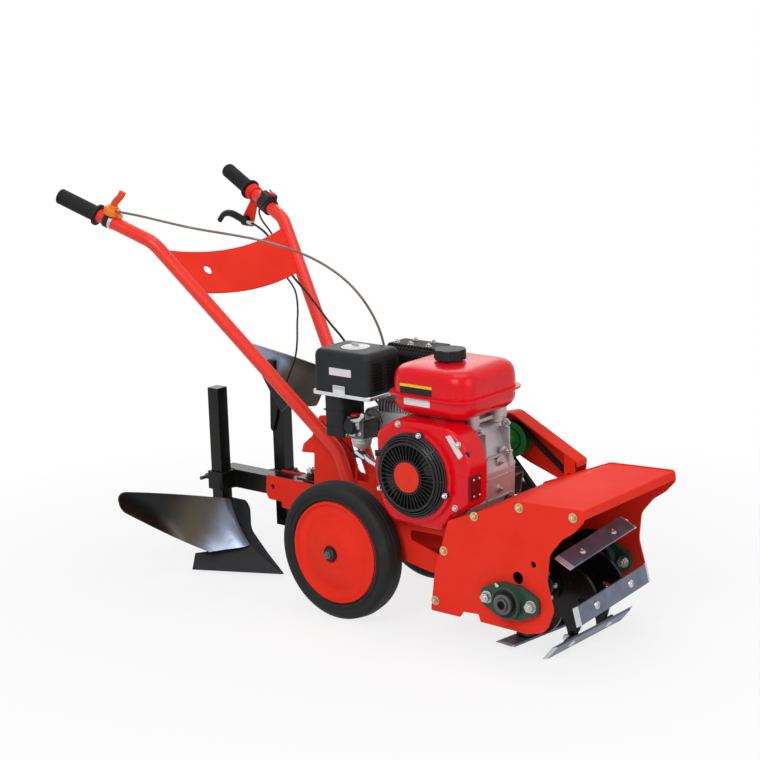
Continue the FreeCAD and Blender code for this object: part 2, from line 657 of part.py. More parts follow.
def strip(front, back_by):
    """Closed section of a curved sheet: an arc through three points, and the same arc moved back."""
    first = [vec(point) for point in front]
    back = [point + back_by for point in first]
    return Part.Wire([Part.Arc(*first).toShape(), Part.LineSegment(first[2], back[2]).toShape(),
                      Part.Arc(back[2], back[1], back[0]).toShape(), Part.LineSegment(back[0], first[0]).toShape()])


def inclined_plate(corners, thick):
    """Flat plate through corners that lie in one plane."""
    points = [vec(corner) for corner in corners]
    normal = (points[1] - points[0]).cross(points[2] - points[0]).normalize()
    return Part.Face(Part.makePolygon(points + [points[0]])).extrude(normal * thick)


def rear_place(shape):
    """A piece of the rear plough, moved from its own frame (forward, sideways, up from the tip) to the machine."""
    moved = shape.mirror(Vector(0, 0, 0), Vector(0, 1, 0))
    moved.translate(vec(REAR_TIP))
    return moved


def rear_mouldboard():
    """Twisted sheet from the shin to the raised tail."""
    back_by = Vector(-SHEET, 0, 0)
    strips = [strip([(-72, 0, 32), (-120, 0, 90), (-143, 0, 156)], back_by),
              strip([(-186, 100, 40), (-226, 100, 130), (-212, 100, 216)], back_by),
              strip([(-228, 240, 130), (-274, 240, 196), (-240, 240, 262)], back_by)]
    blank = Part.makeLoft(strips, True, False)
    rim = [(0.5, 50), (62, 39), (218, 158, 26), (246, 200, 26), (222, 229, 22), (90, 158, 30), (0.5, 146, 8)]
    return rear_place(blank.common(plate_yz(rim, -320, -40)))


def rear_share():
    """Flat share: cutting edge along the ground, joined to the mouldboard along its top."""
    along = Vector(-SHARE_SWEEP[0], SHARE_SWEEP[1], 0).normalize()
    uphill = along.cross(Vector(-91, 0, 49)).normalize().cross(along)
    corners = [along * u + uphill * w for u, w in ((0, 0), (203, 0), (203, 38), (118, 55), (82, 62))]
    slab = inclined_plate([tuple(corner) for corner in corners], -6)
    return rear_place(slab.common(box(-300, 10, 0, 200, 0, 80)))


def rear_landside():
    """Upright plate along the furrow wall, with a hollow front edge."""
    corners = [(0, 0), (-190, 0, 6), (-190, 46, 10), (-144, 60, 20), (-147, 147, 4), (-104, 147, 8), (-90, 136, 30),
               (-90, 84, 30), (-46, 40, 20)]
    return rear_place(plate_xz(corners, -6, 0))


def front_mouldboard():
    """Raised sheet of the front plough, turned over, with its hollow side to the right."""
    back_by = Vector(0, SHEET, 0)
    strips = [strip([(-385, 20, 482), (-324.5, 17, 426), (-264, 4, 370)], back_by),
              strip([(-280, 14, 471), (-251, 24, 419.5), (-222, 2, 368)], back_by),
              strip([(-176, 0, 460), (-181, 17, 417), (-186, -2, 374)], back_by)]
    return Part.makeLoft(strips, True, False)


def front_share():
    """Share of the front plough, along the lower left edge of its sheet."""
    return inclined_plate([(-386, 20, 481), (-265, 4, 369), (-289, 2, 347), (-394.4, 19.3, 473.3)], 5)


def front_landside():
    """Narrow fin against the front post."""
    corners = [(-336, 414, 6), (-340, 300, 4), (-334, 291, 3), (-324, 320, 20), (-316, 352, 20), (-308, 400, 8)]
    return plate_xz(corners, FRONT_POST_Y - POST / 2 - 6, FRONT_POST_Y - POST / 2)


def square_post(x, y, z0, z1):
    half = POST / 2
    return box(x - half, x + half, y - half, y + half, z0, z1)


def plough_set():
    """Both plough bodies: the rear one share down on the right, the front one raised on the left."""
    rear_post = square_post(REAR_POST_X, -POST_Y, 66, 392)
    raised = front_mouldboard()
    pad = box(FRONT_POST_X - 11, FRONT_POST_X + 11, 12, FRONT_POST_Y - POST / 2, 412, 452)
    front_post = fused([square_post(FRONT_POST_X, FRONT_POST_Y, 84, 456), pad]).cut(raised).cut(front_share())
    return {
        "post_rear": rear_post, "mouldboard_rear": rear_mouldboard().cut(rear_post), "share_rear": rear_share(),
        "landside_rear": rear_landside().cut(rear_post),
        "post_front": front_post, "mouldboard_front": raised, "share_front": front_share().cut(raised),
        "landside_front": front_landside(),
    }


# ---------------------------------------------------------------- controls and cables

def grip_axes(side):
    """Unit vectors on a handle's upper run: along it, straight up from it, and across."""
    along = (vec(along_grip(100, side)) - vec(along_grip(0, side))).normalize()
    across = along.cross(Vector(0, 0, 1)).normalize()
    return along, across.cross(along).normalize(), across


def clamp_ring(distance, side, length, outer):
    """Ring clamped round a handle tube."""
    ring = rod(along_grip(distance, side), along_grip(distance + length, side), outer)
    return ring.cut(rod(along_grip(distance - 1, side), along_grip(distance + length + 1, side), TUBE_R))


def handle_bore(side):
    """Room for the handle tube in what is clamped round it."""
    return rod(along_grip(20, side), along_grip(220, side), TUBE_R)


def throttle_lever():
    """Thumb lever on the right handle: clamp, round body and a bent arm."""
    along, up, across = grip_axes(-1)
    base = vec(along_grip(122, -1))
    body = Part.makeCylinder(16, 15, base + up * 12, up)
    knob = Part.makeCylinder(10, 6, base + up * 26, up)
    root = base + up * 27 + along * 6
    arm = [tuple(root), tuple(root + along * 8 + up * 22), tuple(root + along * 4 + up * 46)]
    return fused([clamp_ring(112, -1, 22, 20), body, knob, swept_tube(arm, [18], 4)]).cut(handle_bore(-1))


def kill_switch():
    """Switch box clamped on top of the left handle."""
    along, up, across = grip_axes(1)
    start = vec(along_grip(150, 1)) + up * 8
    ends = [start + across * 13, start - across * 13, start - across * 13 + along * 34, start + across * 13 + along * 34]
    case = Part.Face(Part.makePolygon(ends + [ends[0]])).extrude(up * 20)
    button = Part.makeCylinder(7, 6, start + along * 16 + up * 20, up)
    return fused([case, button, clamp_ring(150, 1, 34, 19)]).cut(handle_bore(1))


LEVER_PIVOT = (-572, 226, 709)
LEVER_ARCH = (-624, 220, 724)
LEVER_TIP = (-655, 220, 703)


def clutch_bracket():
    """Flat bracket that hangs from the left handle and carries the clutch lever."""
    corners = [(-550, 768), (-536, 762), (-556, 694, 4), (-584, 696, 6), (-586, 716, 6)]
    plate = plate_xz(corners, LEVER_PIVOT[1], LEVER_PIVOT[1] + SHEET)
    return fused([plate, clamp_ring(100, 1, 18, 18)]).cut(handle_bore(1))


def clutch_lever():
    """Arched hand lever on its pivot under the left grip."""
    x, y, z = LEVER_PIVOT
    hub = rod((x, y - 12, z), (x, y, z), 11)
    return fused([hub, swept_tube([(x, y - 6, z), LEVER_ARCH, LEVER_TIP], [30], 5.5)])


THROTTLE_ROUTE = [(-511, -228, 788), (-462, -222, 784), (-400, -202, 771), (-335, -180, 758), (-268, -152, 748),
                  (-205, -122, 736), (-146, -90, 716), (-94, -62, 688), (-50, -38, 650), (-18, -20, 602),
                  (0, -7, 552), (6, 0, 504), (8, 2, 464), (5, 3, 428), (4.2, 2.1, 411)]
CLUTCH_ROUTE = [(-548, 216, 704), (-512, 212, 694), (-466, 197, 666), (-420, 176, 634), (-366, 142, 610),
                (-308, 114, 591), (-250, 92, 560), (-196, 65, 536), (-140, 44, 511), (-98, 26, 478),
                (-68, 19, 438), (-44, 17, 402), (-13, 16.1, 383)]
WIRE_ROUTE = [(-482, 195, 762), (-484, 172, 752), (-472, 160, 728), (-440, 164, 696), (-416, 158, 662),
              (-392, 138, 634), (-364, 118, 614), (-332, 104, 600), (-305, 84, 589), (-282, 62, 573),
              (-264, 42, 556), (-244, 16, 540), (-218, -14, 514), (-209, -30, 483), (-216, -40, 454),
              (-229, -44, 424), (-236, -46, 393), (-209, -46, 375), (-162, -45, 367), (-123, -32, 342),
              (-96, -18, 312), (-70, -10, 284), (-38, -10, 276), (0, -12, 286), (28, -14, 302), (42, -14, 317.5)]


def export(name, shape):
    moved = shape.copy()
    moved.translate(Vector(ORIGIN_X, 0, RIDE_HEIGHT))
    moved.exportStep("parts/%s.step" % name)
    state = "valid" if moved.isValid() else "NOT VALID"
    print("%-22s %-9s solids %d volume %.0f" % (name, state, len(moved.Solids), moved.Volume))


def build():
    pieces = {
        "wheel_axle": wheel_axle(),
        "tyre_right": tyre(), "tyre_left": mirrored(tyre()),
        "wheel_disc_right": wheel_disc(), "wheel_disc_left": mirrored(wheel_disc()),
        "frame_side_right": frame_side(), "frame_side_left": mirrored(frame_side()),
        "frame_webs": frame_webs(), "engine_bed": engine_bed(), "drawbar_clamp": drawbar_clamp(),
        "handlebar_right": handlebar(), "handlebar_left": mirrored(handlebar()),
        "grip_right": handle_grip(), "grip_left": mirrored(handle_grip()),
        "cross_panel": cross_panel(),
        "engine_block": engine_block(), "fan_shroud": fan_shroud(), "recoil_starter": recoil_starter(),
        "fuel_tank": fuel_tank(), "fuel_cap": fuel_cap(), "air_filter": air_filter(), "filter_base": filter_base(),
        "carburettor": carburettor(), "muffler": muffler(), "drive_pulley": drive_pulley(),
        "rotor_pulley": rotor_pulley(),
        "rotor_side_right": rotor_side(), "rotor_side_left": mirrored(rotor_side()), "rotor_cover": rotor_cover(),
        "rotor_bearings": Part.makeCompound([flange_bearing(-HOUSING_HALF, -1),
                                             flange_bearing(HOUSING_HALF - SHEET, -1)]),
        "rotor_shaft": rotor_shaft(), "rotor_disc_right": rotor_disc(-1), "rotor_disc_left": rotor_disc(1),
        "rotor_blades": rotor_blades(),
        "drawbar": drawbar(), "belt": belt(), "belt_guard": belt_guard(), "belt_tensioner": belt_tensioner(),
        "throttle_lever": throttle_lever(), "kill_switch": kill_switch(),
        "clutch_bracket": clutch_bracket(), "clutch_lever": clutch_lever(),
        "throttle_cable": cord(THROTTLE_ROUTE, 2.5), "clutch_cable": cord(CLUTCH_ROUTE, 2.5),
        "switch_wire": cord(WIRE_ROUTE, 2.0),
    }
    pieces.update(plough_set())
    for name, shape in pieces.items():
        export(name, shape)


build()
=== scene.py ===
"""Visual model of a walk-behind power weeder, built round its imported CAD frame.

Metres, +X forward to the rotor, +Y to the machine's left, +Z up.  Places are written in millimetres from the
wheel axle, with heights from a datum just above the ground; mm() turns them into the frame.
"""
import logging
import math
from dataclasses import dataclass, field
from enum import Enum
from typing import Iterable, Sequence

import bmesh
import bpy
from mathutils import Matrix, Vector


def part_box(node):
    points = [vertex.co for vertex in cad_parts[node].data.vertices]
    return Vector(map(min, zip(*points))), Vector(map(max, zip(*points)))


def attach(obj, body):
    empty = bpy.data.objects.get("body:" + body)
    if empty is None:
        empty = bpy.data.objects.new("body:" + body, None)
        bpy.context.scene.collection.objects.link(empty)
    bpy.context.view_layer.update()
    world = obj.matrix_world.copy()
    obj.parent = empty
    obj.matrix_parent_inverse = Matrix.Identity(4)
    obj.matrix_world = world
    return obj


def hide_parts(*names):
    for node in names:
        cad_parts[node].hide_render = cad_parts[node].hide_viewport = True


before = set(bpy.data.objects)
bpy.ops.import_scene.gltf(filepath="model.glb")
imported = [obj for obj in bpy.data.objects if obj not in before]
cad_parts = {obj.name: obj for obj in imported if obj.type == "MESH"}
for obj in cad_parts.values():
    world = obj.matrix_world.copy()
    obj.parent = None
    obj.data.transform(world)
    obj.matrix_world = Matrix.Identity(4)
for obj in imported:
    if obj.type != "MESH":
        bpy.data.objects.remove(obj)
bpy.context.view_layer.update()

LOG = logging.getLogger("weeder")
Colour = tuple[float, float, float]
Corner = tuple[float, ...]
Mesh = bmesh.types.BMesh
Part = tuple[Mesh, "Finish"]
Route = Sequence[Sequence[float]]

UP, AHEAD, LEFT, RIGHT = Vector((0, 0, 1)), Vector((1, 0, 0)), Vector((0, 1, 0)), Vector((0, -1, 0))
TO_METRES = Matrix.Scale(0.001, 4)
YZ_UPRIGHT = Matrix(((0, 0, 1), (1, 0, 0), (0, 1, 0))).to_4x4()
WHITE = (1.0, 1.0, 1.0, 1.0)

AXLE_LOW, AXLE_HIGH = (Vector(corner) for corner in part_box("wheel_axle"))
AXLE_Z = 135.0
DATUM = Vector(((AXLE_LOW.x + AXLE_HIGH.x) / 2, 0.0, (AXLE_LOW.z + AXLE_HIGH.z) / 2 - AXLE_Z / 1000))
SHARP = math.radians(35)
ON_AXIS = 0.001
WELD_GAP = 0.000002
FINE_EDGE, EDGE, SHEET_EDGE, BAR_EDGE = 0.0006, 0.0008, 0.0009, 0.0012


def mm(x: float, y: float, z: float) -> Vector:
    """Point of the frame, in metres, from millimetres in the axle's frame.

    Args:
        x: Forward of the wheel axle.
        y: To the machine's left.
        z: Up from the datum.

    Returns:
        The same point in the shared frame.
    """
    return DATUM + Vector((x, y, z)) / 1000


class Body(str, Enum):
    """The moving bodies of the machine."""

    FRAME = "frame"
    WHEEL_RIGHT = "wheel_right"
    WHEEL_LEFT = "wheel_left"
    ROTOR = "rotor"
    PLOUGH_REAR = "plough_rear"
    PLOUGH_FRONT = "plough_front"


# ---------------------------------------------------------------- shader sums

class Signal:
    """A shader value that can be added, multiplied and so on."""

    def __init__(self, tree: bpy.types.NodeTree, socket: bpy.types.NodeSocket) -> None:
        """Wrap a socket.

        Args:
            tree: The material's node tree.
            socket: The output that carries the value.
        """
        self.tree = tree
        self.socket = socket

    def _sum(self, operation: str, first: "Signal | float", second: "Signal | float") -> "Signal":
        """One Math node.

        Args:
            operation: The node's operation.
            first: Its first value.
            second: Its second value.

        Returns:
            The result.
        """
        node = self.tree.nodes.new("ShaderNodeMath")
        node.operation = operation
        for place, value in enumerate((first, second)):
            if isinstance(value, Signal):
                self.tree.links.new(value.socket, node.inputs[place])
            else:
                node.inputs[place].default_value = value
        return Signal(self.tree, node.outputs[0])

    def __add__(self, other: "Signal | float") -> "Signal":
        """Sum."""
        return self._sum("ADD", self, other)

    def __radd__(self, other: float) -> "Signal":
        """Sum with a number in front."""
        return self._sum("ADD", other, self)

    def __sub__(self, other: "Signal | float") -> "Signal":
        """Difference."""
        return self._sum("SUBTRACT", self, other)

    def __rsub__(self, other: float) -> "Signal":
        """Difference from a number."""
        return self._sum("SUBTRACT", other, self)

    def __mul__(self, other: "Signal | float") -> "Signal":
        """Product."""
        return self._sum("MULTIPLY", self, other)

    def __rmul__(self, other: float) -> "Signal":
        """Product with a number in front."""
        return self._sum("MULTIPLY", other, self)


class Graph:
    """A node tree while it is being written."""

    def __init__(self, tree: bpy.types.NodeTree) -> None:
        """Take up a tree.

        Args:
            tree: The tree.
        """
        self.tree = tree

    def node(self, kind: str, settings: dict, inputs: dict) -> bpy.types.Node:
        """Any node: its settings first, then its inputs.

        Args:
            kind: The node's type.
            settings: Properties by name.
            inputs: Values, sockets or signals, by input name or index.

        Returns:
            The new node.
        """
        made = self.tree.nodes.new(kind)
        for key, value in settings.items():
            setattr(made, key, value)
        self.feed(made, inputs)
        return made

    def feed(self, node: bpy.types.Node, inputs: dict) -> None:
        """Set or link a node's inputs.

        Args:
            node: The node.
            inputs: Values, sockets or signals, by input name or index.
        """
        for key, value in inputs.items():
            if isinstance(value, Signal):
                value = value.socket
            if isinstance(value, bpy.types.NodeSocket):
                self.tree.links.new(value, node.inputs[key])
            else:
                node.inputs[key].default_value = value

    def seen_directly(self) -> Signal:
        """One for rays from the camera, and through reflections and glass.

        Returns:
            The signal.
        """
        path = self.node("ShaderNodeLightPath", {}, {})
        camera, glossy, glass = (Signal(self.tree, path.outputs["Is " + kind + " Ray"])
                                 for kind in ("Camera", "Glossy", "Transmission"))
        return camera + glossy + glass


class Recipe(Graph):
    """A material while it is being written."""

    def __init__(self, name: str) -> None:
        """Start an empty recipe.

        Args:
            name: The material's name.
        """
        self.material = bpy.data.materials.new(name)
        self.material.use_nodes = True
        super().__init__(self.material.node_tree)
        self.surface = self.tree.nodes["Principled BSDF"]

    def place(self, stretch: Colour = (1, 1, 1)) -> bpy.types.NodeSocket:
        """The piece's own coordinates, stretched.

        Args:
            stretch: Scale along each axis.

        Returns:
            A vector socket.
        """
        own = self.node("ShaderNodeTexCoord", {}, {})
        return self.node("ShaderNodeMapping", {}, {"Vector": own.outputs["Object"],
                                                   "Scale": stretch}).outputs[0]

    def noise(self, scale: float, detail: float, stretch: Colour = (1, 1, 1)) -> Signal:
        """Cloudy variation.

        Args:
            scale: Clouds per metre.
            detail: Octaves of finer clouds.
            stretch: Scale along each axis.

        Returns:
            A signal about one half.
        """
        made = self.node("ShaderNodeTexNoise", {}, {"Vector": self.place(stretch), "Scale": scale,
                                                    "Detail": detail, "Roughness": 0.55})
        return Signal(self.tree, made.outputs[0])

    def ramp(self, value: Signal, low: float, high: float) -> Signal:
        """Smooth step from nothing at low to one at high.

        Args:
            value: The signal.
            low: Where it starts.
            high: Where it is full.

        Returns:
            The stepped signal.
        """
        made = self.node("ShaderNodeMapRange", {"interpolation_type": "SMOOTHSTEP"},
                         {"Value": value, "From Min": low, "From Max": high})
        return Signal(self.tree, made.outputs["Result"])

    def axis(self, index: int) -> Signal:
        """One coordinate of the piece's own space, in metres.

        Args:
            index: 0, 1 or 2 for X, Y or Z.

        Returns:
            The coordinate.
        """
        split = self.node("ShaderNodeSeparateXYZ", {}, {0: self.place()})
        return Signal(self.tree, split.outputs[index])

    def mix(self, factor: Signal, first: "Colour | bpy.types.NodeSocket",
            second: "Colour | bpy.types.NodeSocket") -> bpy.types.NodeSocket:
        """Blend of two colours.

        Args:
            factor: How much of the second.
            first: A colour or a colour socket.
            second: A colour or a colour socket.

        Returns:
            A colour socket.
        """
        made = self.node("ShaderNodeMix", {"data_type": "RGBA"}, {0: factor})
        for place, value in ((6, first), (7, second)):
            if isinstance(value, tuple):
                value = (*value, 1.0)
            self.feed(made, {place: value})
        return made.outputs[2]

    def bump(self, height: Signal, depth: float) -> bpy.types.NodeSocket:
        """Normal from a height signal.

        Args:
            height: The relief, from 0 to 1.
            depth: Its depth in metres.

        Returns:
            A normal socket.
        """
        return self.node("ShaderNodeBump", {}, {"Height": height, "Distance": depth,
                                                "Strength": 1.0}).outputs[0]


# ---------------------------------------------------------------- finishes

MADE: dict[str, bpy.types.Material] = {}


@dataclass(frozen=True)
class Finish:
    """A surface: its colour, how the colour drifts, its shine and its fine relief."""

    name: str
    colour: Colour
    shade: Colour
    rough: float = 0.4
    rough_drift: float = 0.12
    metal: float = 0.0
    coat: float = 0.0
    gloss: float = 0.12
    relief: float = 0.00002
    relief_scale: float = 900.0
    drift_scale: float = 14.0
    grime: Colour = (0.05, 0.04, 0.03)
    grime_amount: float = 0.12
    stretch: Colour = (1.0, 1.0, 1.0)
    shade_reach: Sequence[float] = (0.30, 0.72)
    dust_scale: float = 38.0
    dust_reach: Sequence[float] = (0.56, 0.80)
    coat_rough: float = 0.08

    def extra(self, recipe: Recipe, colour: bpy.types.NodeSocket) -> bpy.types.NodeSocket:
        """Any further colouring; the plain finish has none.

        Args:
            recipe: The material's recipe.
            colour: The colour so far.

        Returns:
            The colour to use.
        """
        return colour

    def make(self) -> bpy.types.Material:
        """The material, made once and shared.

        Returns:
            The material.
        """
        if self.name in MADE:
            return MADE[self.name]
        recipe = Recipe("finish_" + self.name)
        MADE[self.name] = recipe.material
        drift = recipe.noise(self.drift_scale, 3.0, self.stretch)
        fine = recipe.noise(self.relief_scale, 2.0, self.stretch)
        dust = recipe.ramp(recipe.noise(self.dust_scale, 6.0), *self.dust_reach) * self.grime_amount
        colour = recipe.mix(recipe.ramp(drift, *self.shade_reach), self.colour, self.shade)
        colour = self.extra(recipe, colour)
        colour = recipe.mix(dust, colour, self.grime)
        recipe.feed(recipe.surface, {
            "Base Color": colour, "Metallic": self.metal,
            "Coat Weight": self.coat, "Coat Roughness": self.coat_rough,
            "Specular IOR Level": 0.5 if self.metal > 0.5 else self.gloss,
            "Roughness": self.rough + (drift - 0.5) * self.rough_drift + dust * 0.5,
            "Normal": recipe.bump(fine, self.relief)})
        return recipe.material


@dataclass(frozen=True)
class ScouredSteelWithPaintedShade(Finish):
    """Sheet steel that goes from bright, near the share, through brown to near black at its tail; this
    darkening along a fixed line is painted shade.
    """

    start: Colour = (0.0, 0.0, 0.0)
    end: Colour = (0.1, 0.0, 0.0)
    warm: Colour = (0.085, 0.068, 0.050)
    # painted shade: the near black that the sheet darkens to towards its tail
    painted_shade_dark: Colour = (0.010, 0.010, 0.010)
    warm_reach: Sequence[float] = (0.10, 0.48)
    painted_shade_reach: Sequence[float] = (0.50, 1.0)
    cloudiness: float = 0.3

    def extra(self, recipe: Recipe, colour: bpy.types.NodeSocket) -> bpy.types.NodeSocket:
        """Blend through brown to a near-black painted shade along a line.

        Args:
            recipe: The material's recipe.
            colour: The bright steel's colour.

        Returns:
            The blended colour.
        """
        # painted shade: the colour darkens along a fixed line in the sheet's own space, through brown to near
        # black
        run = Vector(self.end) - Vector(self.start)
        weight = run / run.length_squared
        along = (recipe.axis(0) - self.start[0]) * weight.x + (recipe.axis(1) - self.start[1]) * weight.y \
            + (recipe.axis(2) - self.start[2]) * weight.z
        cloud = along + (recipe.noise(9.0, 4.0) - 0.5) * self.cloudiness
        warm = recipe.mix(recipe.ramp(cloud, *self.warm_reach), colour, self.warm)
        return recipe.mix(recipe.ramp(cloud, *self.painted_shade_reach), warm, self.painted_shade_dark)


class Finishes:
    """Every finish of the machine."""

    ORANGE = Finish("sheet_enamel", (0.86, 0.036, 0.018), (0.82, 0.031, 0.016), rough=0.60, gloss=0.10,
                    relief=0.00003, relief_scale=420.0, grime_amount=0.03)
    TUBE_ORANGE = Finish("tube_enamel", (0.86, 0.036, 0.018), (0.82, 0.031, 0.016), rough=0.34, gloss=0.35,
                         relief=0.0, grime_amount=0.03)
    GUARD_ORANGE = Finish("guard_orange", (0.80, 0.036, 0.016), (0.74, 0.030, 0.014), rough=0.55, gloss=0.12,
                          relief=0.00003, relief_scale=420.0, grime_amount=0.05)
    RED = Finish("tank_red", (0.76, 0.003, 0.012), (0.70, 0.002, 0.010), rough=0.27, coat=0.06, gloss=0.22,
                 relief=0.000012, relief_scale=260.0, grime_amount=0.02)
    DARK_RED = Finish("switch_red", (0.20, 0.006, 0.010), (0.15, 0.005, 0.008), rough=0.4, grime_amount=0.1)
    BLACK = Finish("gloss_black", (0.004, 0.004, 0.004), (0.006, 0.006, 0.005), rough=0.22, gloss=0.22,
                   relief=0.00003, relief_scale=380.0, grime=(0.09, 0.08, 0.07), grime_amount=0.08)
    GREEN = Finish("bearing_green", (0.016, 0.070, 0.044), (0.024, 0.055, 0.038), rough=0.42, gloss=0.3,
                   relief=0.00010, relief_scale=330.0, grime_amount=0.25)
    TYRE = Finish("tyre_rubber", (0.010, 0.011, 0.012), (0.018, 0.018, 0.018), rough=0.62, rough_drift=0.2,
                  gloss=0.2, relief=0.00006, relief_scale=600.0, grime=(0.10, 0.09, 0.08), grime_amount=0.16)
    RUBBER = Finish("grip_rubber", (0.012, 0.012, 0.013), (0.020, 0.020, 0.020), rough=0.55,
                    relief=0.00004, relief_scale=900.0, grime=(0.08, 0.07, 0.06), grime_amount=0.10)
    BELT = Finish("belt_rubber", (0.012, 0.012, 0.012), (0.022, 0.021, 0.020), rough=0.75, relief=0.00006,
                  relief_scale=1200.0, grime=(0.09, 0.08, 0.07), grime_amount=0.2)
    ALLOY = Finish("cast_alloy", (0.56, 0.57, 0.58), (0.46, 0.47, 0.48), rough=0.50, metal=0.6, relief=0.00012,
                   relief_scale=700.0, grime=(0.06, 0.05, 0.04), grime_amount=0.35)
    CHROME = Finish("bright_plate", (0.70, 0.71, 0.73), (0.62, 0.63, 0.66), rough=0.20, metal=1.0,
                    relief=0.00001, grime_amount=0.12)
    ZINC = Finish("gold_zinc", (0.62, 0.50, 0.24), (0.52, 0.46, 0.30), rough=0.30, metal=0.95, relief=0.00003,
                  grime_amount=0.15)
    WHITE_ZINC = Finish("white_zinc", (0.58, 0.58, 0.56), (0.48, 0.48, 0.46), rough=0.32, metal=0.95,
                        relief=0.00003, grime_amount=0.15)
    BLADE = Finish("blade_steel", (0.19, 0.21, 0.29), (0.13, 0.15, 0.20), rough=0.38, metal=0.45,
                   relief=0.00004, relief_scale=500.0, drift_scale=26.0, grime=(0.08, 0.06, 0.05),
                   grime_amount=0.25)
    BRIGHT_EDGE = Finish("ground_edge", (0.62, 0.63, 0.66), (0.48, 0.50, 0.53), rough=0.34, metal=0.6,
                         stretch=(1.0, 8.0, 1.0), grime_amount=0.1)
    DARK_STEEL = Finish("forged_steel", (0.050, 0.042, 0.038), (0.085, 0.072, 0.062), rough=0.38, metal=0.8,
                        relief=0.00008, relief_scale=300.0, grime=(0.12, 0.07, 0.04), grime_amount=0.3)
    PLASTIC = Finish("black_plastic", (0.018, 0.019, 0.021), (0.025, 0.026, 0.028), rough=0.44, relief=0.00006,
                     relief_scale=1300.0, grime=(0.10, 0.09, 0.08), grime_amount=0.06)
    ORANGE_PLASTIC = Finish("lever_orange", (0.86, 0.22, 0.015), (0.82, 0.18, 0.012), rough=0.34, gloss=0.3,
                            grime_amount=0.05)
    THUMB_ORANGE = Finish("thumb_orange", (0.80, 0.07, 0.014), (0.76, 0.06, 0.012), rough=0.34, gloss=0.3,
                          grime_amount=0.05)
    PLASTIC_GLOSS = Finish("gloss_plastic", (0.010, 0.010, 0.011), (0.015, 0.015, 0.016), rough=0.26,
                           gloss=0.35, relief=0.00003, relief_scale=900.0, grime=(0.08, 0.07, 0.06),
                           grime_amount=0.04)
    STARTER_RED = Finish("starter_red", (0.80, 0.038, 0.018), (0.76, 0.032, 0.016), rough=0.35,
                         grime_amount=0.03)
    DARK_ALLOY = Finish("dark_alloy", (0.16, 0.16, 0.16), (0.10, 0.10, 0.10), rough=0.42, metal=0.85,
                        relief=0.0001, relief_scale=700.0, grime=(0.05, 0.04, 0.03), grime_amount=0.4)
    LABEL = Finish("blank_label", (0.80, 0.78, 0.80), (0.74, 0.70, 0.73), rough=0.4, relief=0.0,
                   grime_amount=0.06)
    LABEL_YELLOW = Finish("yellow_label", (0.86, 0.58, 0.03), (0.82, 0.54, 0.03), rough=0.4, relief=0.0,
                          grime_amount=0.05)
    SHARE = Finish("share_steel", (0.006, 0.007, 0.009), (0.012, 0.013, 0.015), rough=0.34, gloss=0.25,
                   metal=0.1, relief=0.00006, relief_scale=220.0, drift_scale=20.0, grime=(0.08, 0.06, 0.05),
                   grime_amount=0.12)
    EXHAUST = Finish("exhaust_black", (0.010, 0.010, 0.010), (0.020, 0.018, 0.016), rough=0.55, relief=0.00005,
                     grime=(0.08, 0.06, 0.05), grime_amount=0.25)
    SHADOW = Finish("inner_dark", (0.004, 0.004, 0.004), (0.006, 0.006, 0.006), rough=0.8, grime_amount=0.0)
    PULLEY_GREEN = Finish("pulley_green", (0.012, 0.260, 0.050), (0.014, 0.200, 0.045), rough=0.4, gloss=0.3,
                          relief=0.00010, relief_scale=330.0, grime_amount=0.3)
    BUTTON = Finish("button_red", (0.70, 0.010, 0.012), (0.62, 0.008, 0.010), rough=0.30, coat=0.4,
                    grime_amount=0.05)
    CABLE = Finish("cable_sheath", (0.012, 0.012, 0.012), (0.020, 0.020, 0.019), rough=0.42, relief=0.00002,
                   grime=(0.08, 0.07, 0.06), grime_amount=0.1)
    WIRE_STEEL = Finish("cable_steel", (0.22, 0.17, 0.16), (0.16, 0.10, 0.10), rough=0.45, metal=0.4,
                        relief=0.00005, relief_scale=2200.0, grime_amount=0.2)
    # painted shade: this sheet darkens through brown to near black towards its tail
    REAR_SHEET = ScouredSteelWithPaintedShade("scoured_rear_painted_shade", (0.20, 0.24, 0.32), (0.13, 0.15, 0.20), rough=0.24, metal=0.55,
                              relief=0.00004, relief_scale=160.0, drift_scale=18.0, grime=(0.05, 0.04, 0.03),
                              grime_amount=0.15, start=(-0.285, -0.11, 0.07), end=(-0.37, -0.21, 0.17))
    # painted light: the front body is the same part as the rear one, and its lighter steel and lighter dark end
    # stand in for brighter light on it
    FRONT_SHEET_PAINTED_LIGHT = ScouredSteelWithPaintedShade("scoured_front_painted_light", (0.34, 0.39, 0.50), (0.26, 0.30, 0.39), rough=0.30, metal=0.35,
                               relief=0.00004, relief_scale=160.0, drift_scale=18.0, grime=(0.06, 0.05, 0.04),
                               grime_amount=0.1, start=(-0.26, 0.02, 0.48), end=(-0.19, 0.02, 0.41),
                               painted_shade_dark=(0.045, 0.038, 0.032))


# ---------------------------------------------------------------- forms

